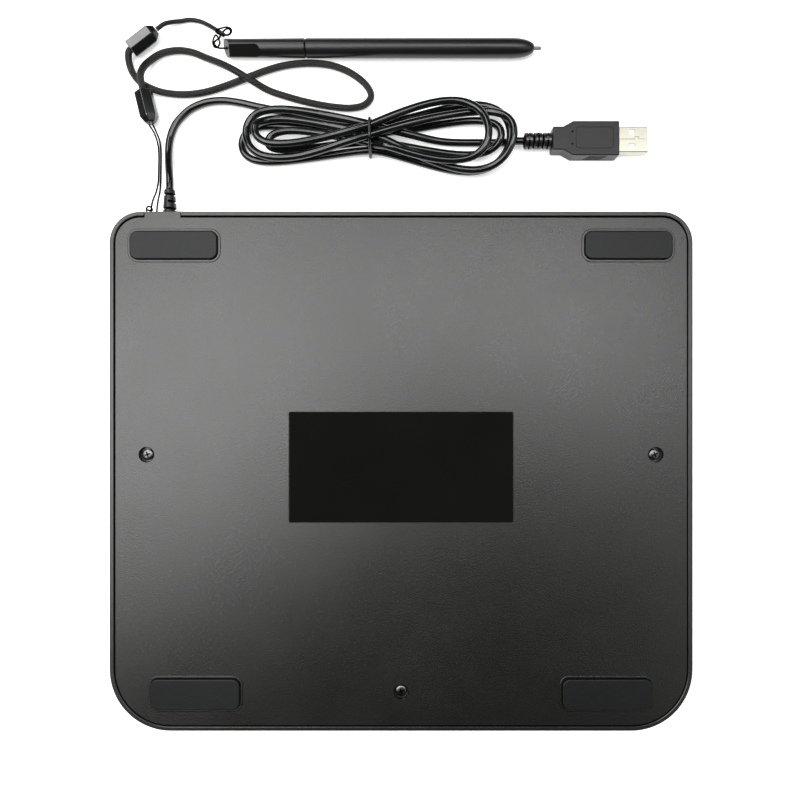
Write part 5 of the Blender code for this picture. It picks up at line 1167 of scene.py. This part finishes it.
def addRearBarrel():
    shoulder, spigot = pen["split"] - pen["halfSplit"], pen["spigot"]
    tail, radius, wide, edge = (pen[key] for key in ("tail", "tailRadius", "splitRadius", "edge"))
    rings = [(0.9 * radius, tail), (0.97 * radius, tail + 0.0002), (radius, tail + 0.0006)]
    for share in np.linspace(0.1, 1, 6):
        rings.append((radius + (wide - radius) * share, tail + share * (shoulder - edge - tail)))
    rings += [(wide - edge, shoulder), (spigot, shoulder), (spigot, shoulder + 0.0095)]
    barrel = layPen(addTurned("penRearBarrel", rings, sides=56))
    cutX = tail + radius * (tan(pen["slant"]) + tan(pen["lean"]))
    facing = Matrix.Rotation(pen["slant"], 3, "Z") @ Matrix.Rotation(pen["lean"], 3, "Y") @ Vector((-1, 0, 0))
    editMode()
    bpy.ops.mesh.select_all(action="SELECT")
    bpy.ops.mesh.bisect(
        plane_co=(cutX, pen["y"], pen["height"]), plane_no=facing, clear_outer=True, use_fill=True)
    objectMode()
    flat = addSlab(
        "flat", (pen["flatEnd"] + 0.006, pen["flatWidth"], 0.002),
        (pen["flatEnd"] / 2 - 0.003, 0, radius - pen["flatDepth"] + 0.001), (pen["flatCorner"],) * 2,
        cornerSegments=6)
    layDown(flat, (tail, pen["y"], pen["height"]), (pen["flatTurn"], 0, 0))
    hole = addTurned("tailHole", [(pen["hole"], -0.001), (pen["hole"], 0.003)], sides=20)
    carve(barrel, flat, layDown(hole, (cutX, pen["y"], pen["height"]), alongX))
    softenEdges(barrel, pen["cutEdge"], segments=2, angle=40)
    finishPiece(barrel, "pen", "pen", "pen_plastic", "pen_rear_barrel")


def addFrontBarrel():
    back, sleeve, edge = pen["split"] + pen["halfSplit"], pen["spigot"] + 0.0003, pen["edge"]
    wide, grip, tip, hole = (pen[key] for key in ("splitRadius", "gripRadius", "noseRadius", "nibHole"))
    nose, end = pen["nose"], pen["noseEnd"]
    rings = [(sleeve, back + 0.001), (sleeve, back), (wide - edge, back), (wide, back + edge)]
    for share in np.linspace(0.1, 1, 7):
        rings.append((wide + (grip - wide) * share, back + edge + share * (nose - back)))
    for share in np.linspace(0.12, 0.97, 14):
        rings.append((tip + (grip - tip) * (1 - share**2.6) ** 0.72, nose + share * (end - nose)))
    rings += [(tip, end), (hole, end), (hole, end - 0.004)]
    barrel = layPen(addTurned("penFrontBarrel", rings, sides=56))
    finishPiece(barrel, "pen", "pen", "pen_plastic", "pen_front_barrel")


def addNib():
    radius, tip = pen["nib"], pen["nibTip"]
    shoulder = tip - 1.3 * radius
    rings = [(radius, tip - pen["nibLength"]), (radius, shoulder)]
    for share in np.linspace(0.25, 1, 7):
        rings.append((
            radius * cos(share * radians(84)), shoulder + 1.3 * radius * sin(share * pi / 2)))
    finishPiece(layPen(addTurned("penNib", rings, sides=28)), "nib", "nib", "nib_plastic", "nib")


def addSpring():
    # lies between its stop and the nib's carrier
    low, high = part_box("nib_spring")
    wire, radius, turns = (pen[key] for key in ("springWire", "springRadius", "springTurns"))
    start, end = low.x + wire / 2, high.x - wire / 2
    track = []
    for share in np.linspace(0, 1, 24 * turns + 1):
        turn = 2 * pi * share * turns
        track.append((start + share * (end - start), pen["y"] + radius * cos(turn),
                      pen["height"] + radius * sin(turn)))
    ends = ((x, pen["y"], pen["height"]) for x in (start, end))
    stretchTo(addTube("nibSpring", track, wire, sides=10), ("pen", "nib"), *ends, "zinc", "zinc_steel", "nib_spring")


addRearBarrel()
addFrontBarrel()
addNib()
addSpring()
print("pen made")


# Pieces that keep their solid's own shape
for node, finish in {
    "blank_label": "label", "front_glass": "glass", "lcd_panel": "panel", "digitizer_board": "board",
    "shield_plate": "zinc", "main_board": "board", "main_chip": "chip", "usb_header": "white",
    "ribbon_socket": "white", "ribbon_cable": "ribbon", "inner_cable": "clip", "nib_carrier": "white",
    "sense_coil": "copper", "spring_stop": "white", "pen_board": "board",
}.items():
    dress(frame["nodes"][node], finish)


# Each cord's route length is worked out
plugPieces = [bpy.data.objects[name] for name in ("cableTie", "plugBoot", "plugGrip", "plugShell", "plugInsulator")]
plugPieces += [bpy.data.objects[f"plugContact_{number}"] for number in range(4)]
for tube, track, diameter, farEnd, stiffness, lay, pieces in (
    (usbCable, usbPoints, usb["diameter"], "plug", "medium", "coiled", plugPieces),
    *((*thread, tether["thread"], "fitting", "limp", "loose", [padClip]) for thread in padThreads),
    (tetherBraid, braidTrack, tether["braid"], "fitting", "limp", "loose", [penClip]),
    (thinCord, thinTrack, tether["thin"], "knot", "limp", "loose", [penThread]),
):
    routeLength(track)


# Floor and lights. Each softbox has a place, the point it faces, its size, its spin and its radiance.
studio = {
    "floorSize": 6.0, "floorLevel": -0.0002,
    "floorTones": {
        "Base Color": ((0.88, 0.88, 0.87), (0.89, 0.89, 0.88)),
        "Emission Color": ((0.97, 0.97, 0.96), (1, 1, 0.99)),
    },
    "world": (0.03, 0.03, 0.03),
    "lamps": {
        "leftSoftbox": ((-0.462, 0.056, 0.92), (0, 0.03, 0), (0.72, 0.673), 0.412, 7.0),
        "backSoftbox": ((0.276, 0.303, 1.363), (0, 0.03, 0), (0.994, 0.471), -0.275, 7.7),
        "rightSoftbox": ((1.094, -0.158, 1.039), (0, 0.03, 0), (1.266, 1.032), 0.6, 1.03),
        "cornerSoftbox": ((-0.56, 0.86, 1.05), (-0.05, 0.15, 0), (0.62, 0.5), 0.0, 7.5),
        "plugSoftbox": ((0.75, 0.78, 1.2), (0.05, 0.15, 0), (0.5, 0.4), 0.0, 2.0),
    },
}

chooseNothing()
bpy.ops.mesh.primitive_plane_add(size=studio["floorSize"], location=(0, 0, studio["floorLevel"]))
floor = begin("studioFloor")
floorFinish = Finish("floorPaper", Roughness=0.9, Specular_IOR_Level=0.1, Emission_Strength=0.45)
floorTone = floorFinish.noise(6.0, 3.0)
for socket, (dark, light) in studio["floorTones"].items():
    floorFinish.feed(socket, floorFinish.ramp(floorTone, dark, light))
floor.data.materials.append(floorFinish.material)

world = bpy.data.worlds.new("studioWorld")
world.use_nodes = True
world.node_tree.nodes["Background"].inputs["Color"].default_value = (*studio["world"], 1.0)
scene.world = world


def addSoftbox(name, place, aim, size, spin, radiance):
    lamp = bpy.data.lights.new(name, "AREA")
    lamp.shape = "RECTANGLE"
    lamp.size, lamp.size_y = size
    lamp.energy = radiance * pi * size[0] * size[1]
    holder = bpy.data.objects.new(name, lamp)
    holder.location = place
    away = (Vector(place) - Vector(aim)).normalized()
    across = Vector((0, 1, 0)).cross(away).normalized()
    facing = Matrix((across, away.cross(across), away)).transposed()
    holder.rotation_euler = (facing @ Matrix.Rotation(spin, 3, "Z")).to_euler()
    scene.collection.objects.link(holder)


for name, settings in studio["lamps"].items():
    addSoftbox(name, *settings)
print("stage set")
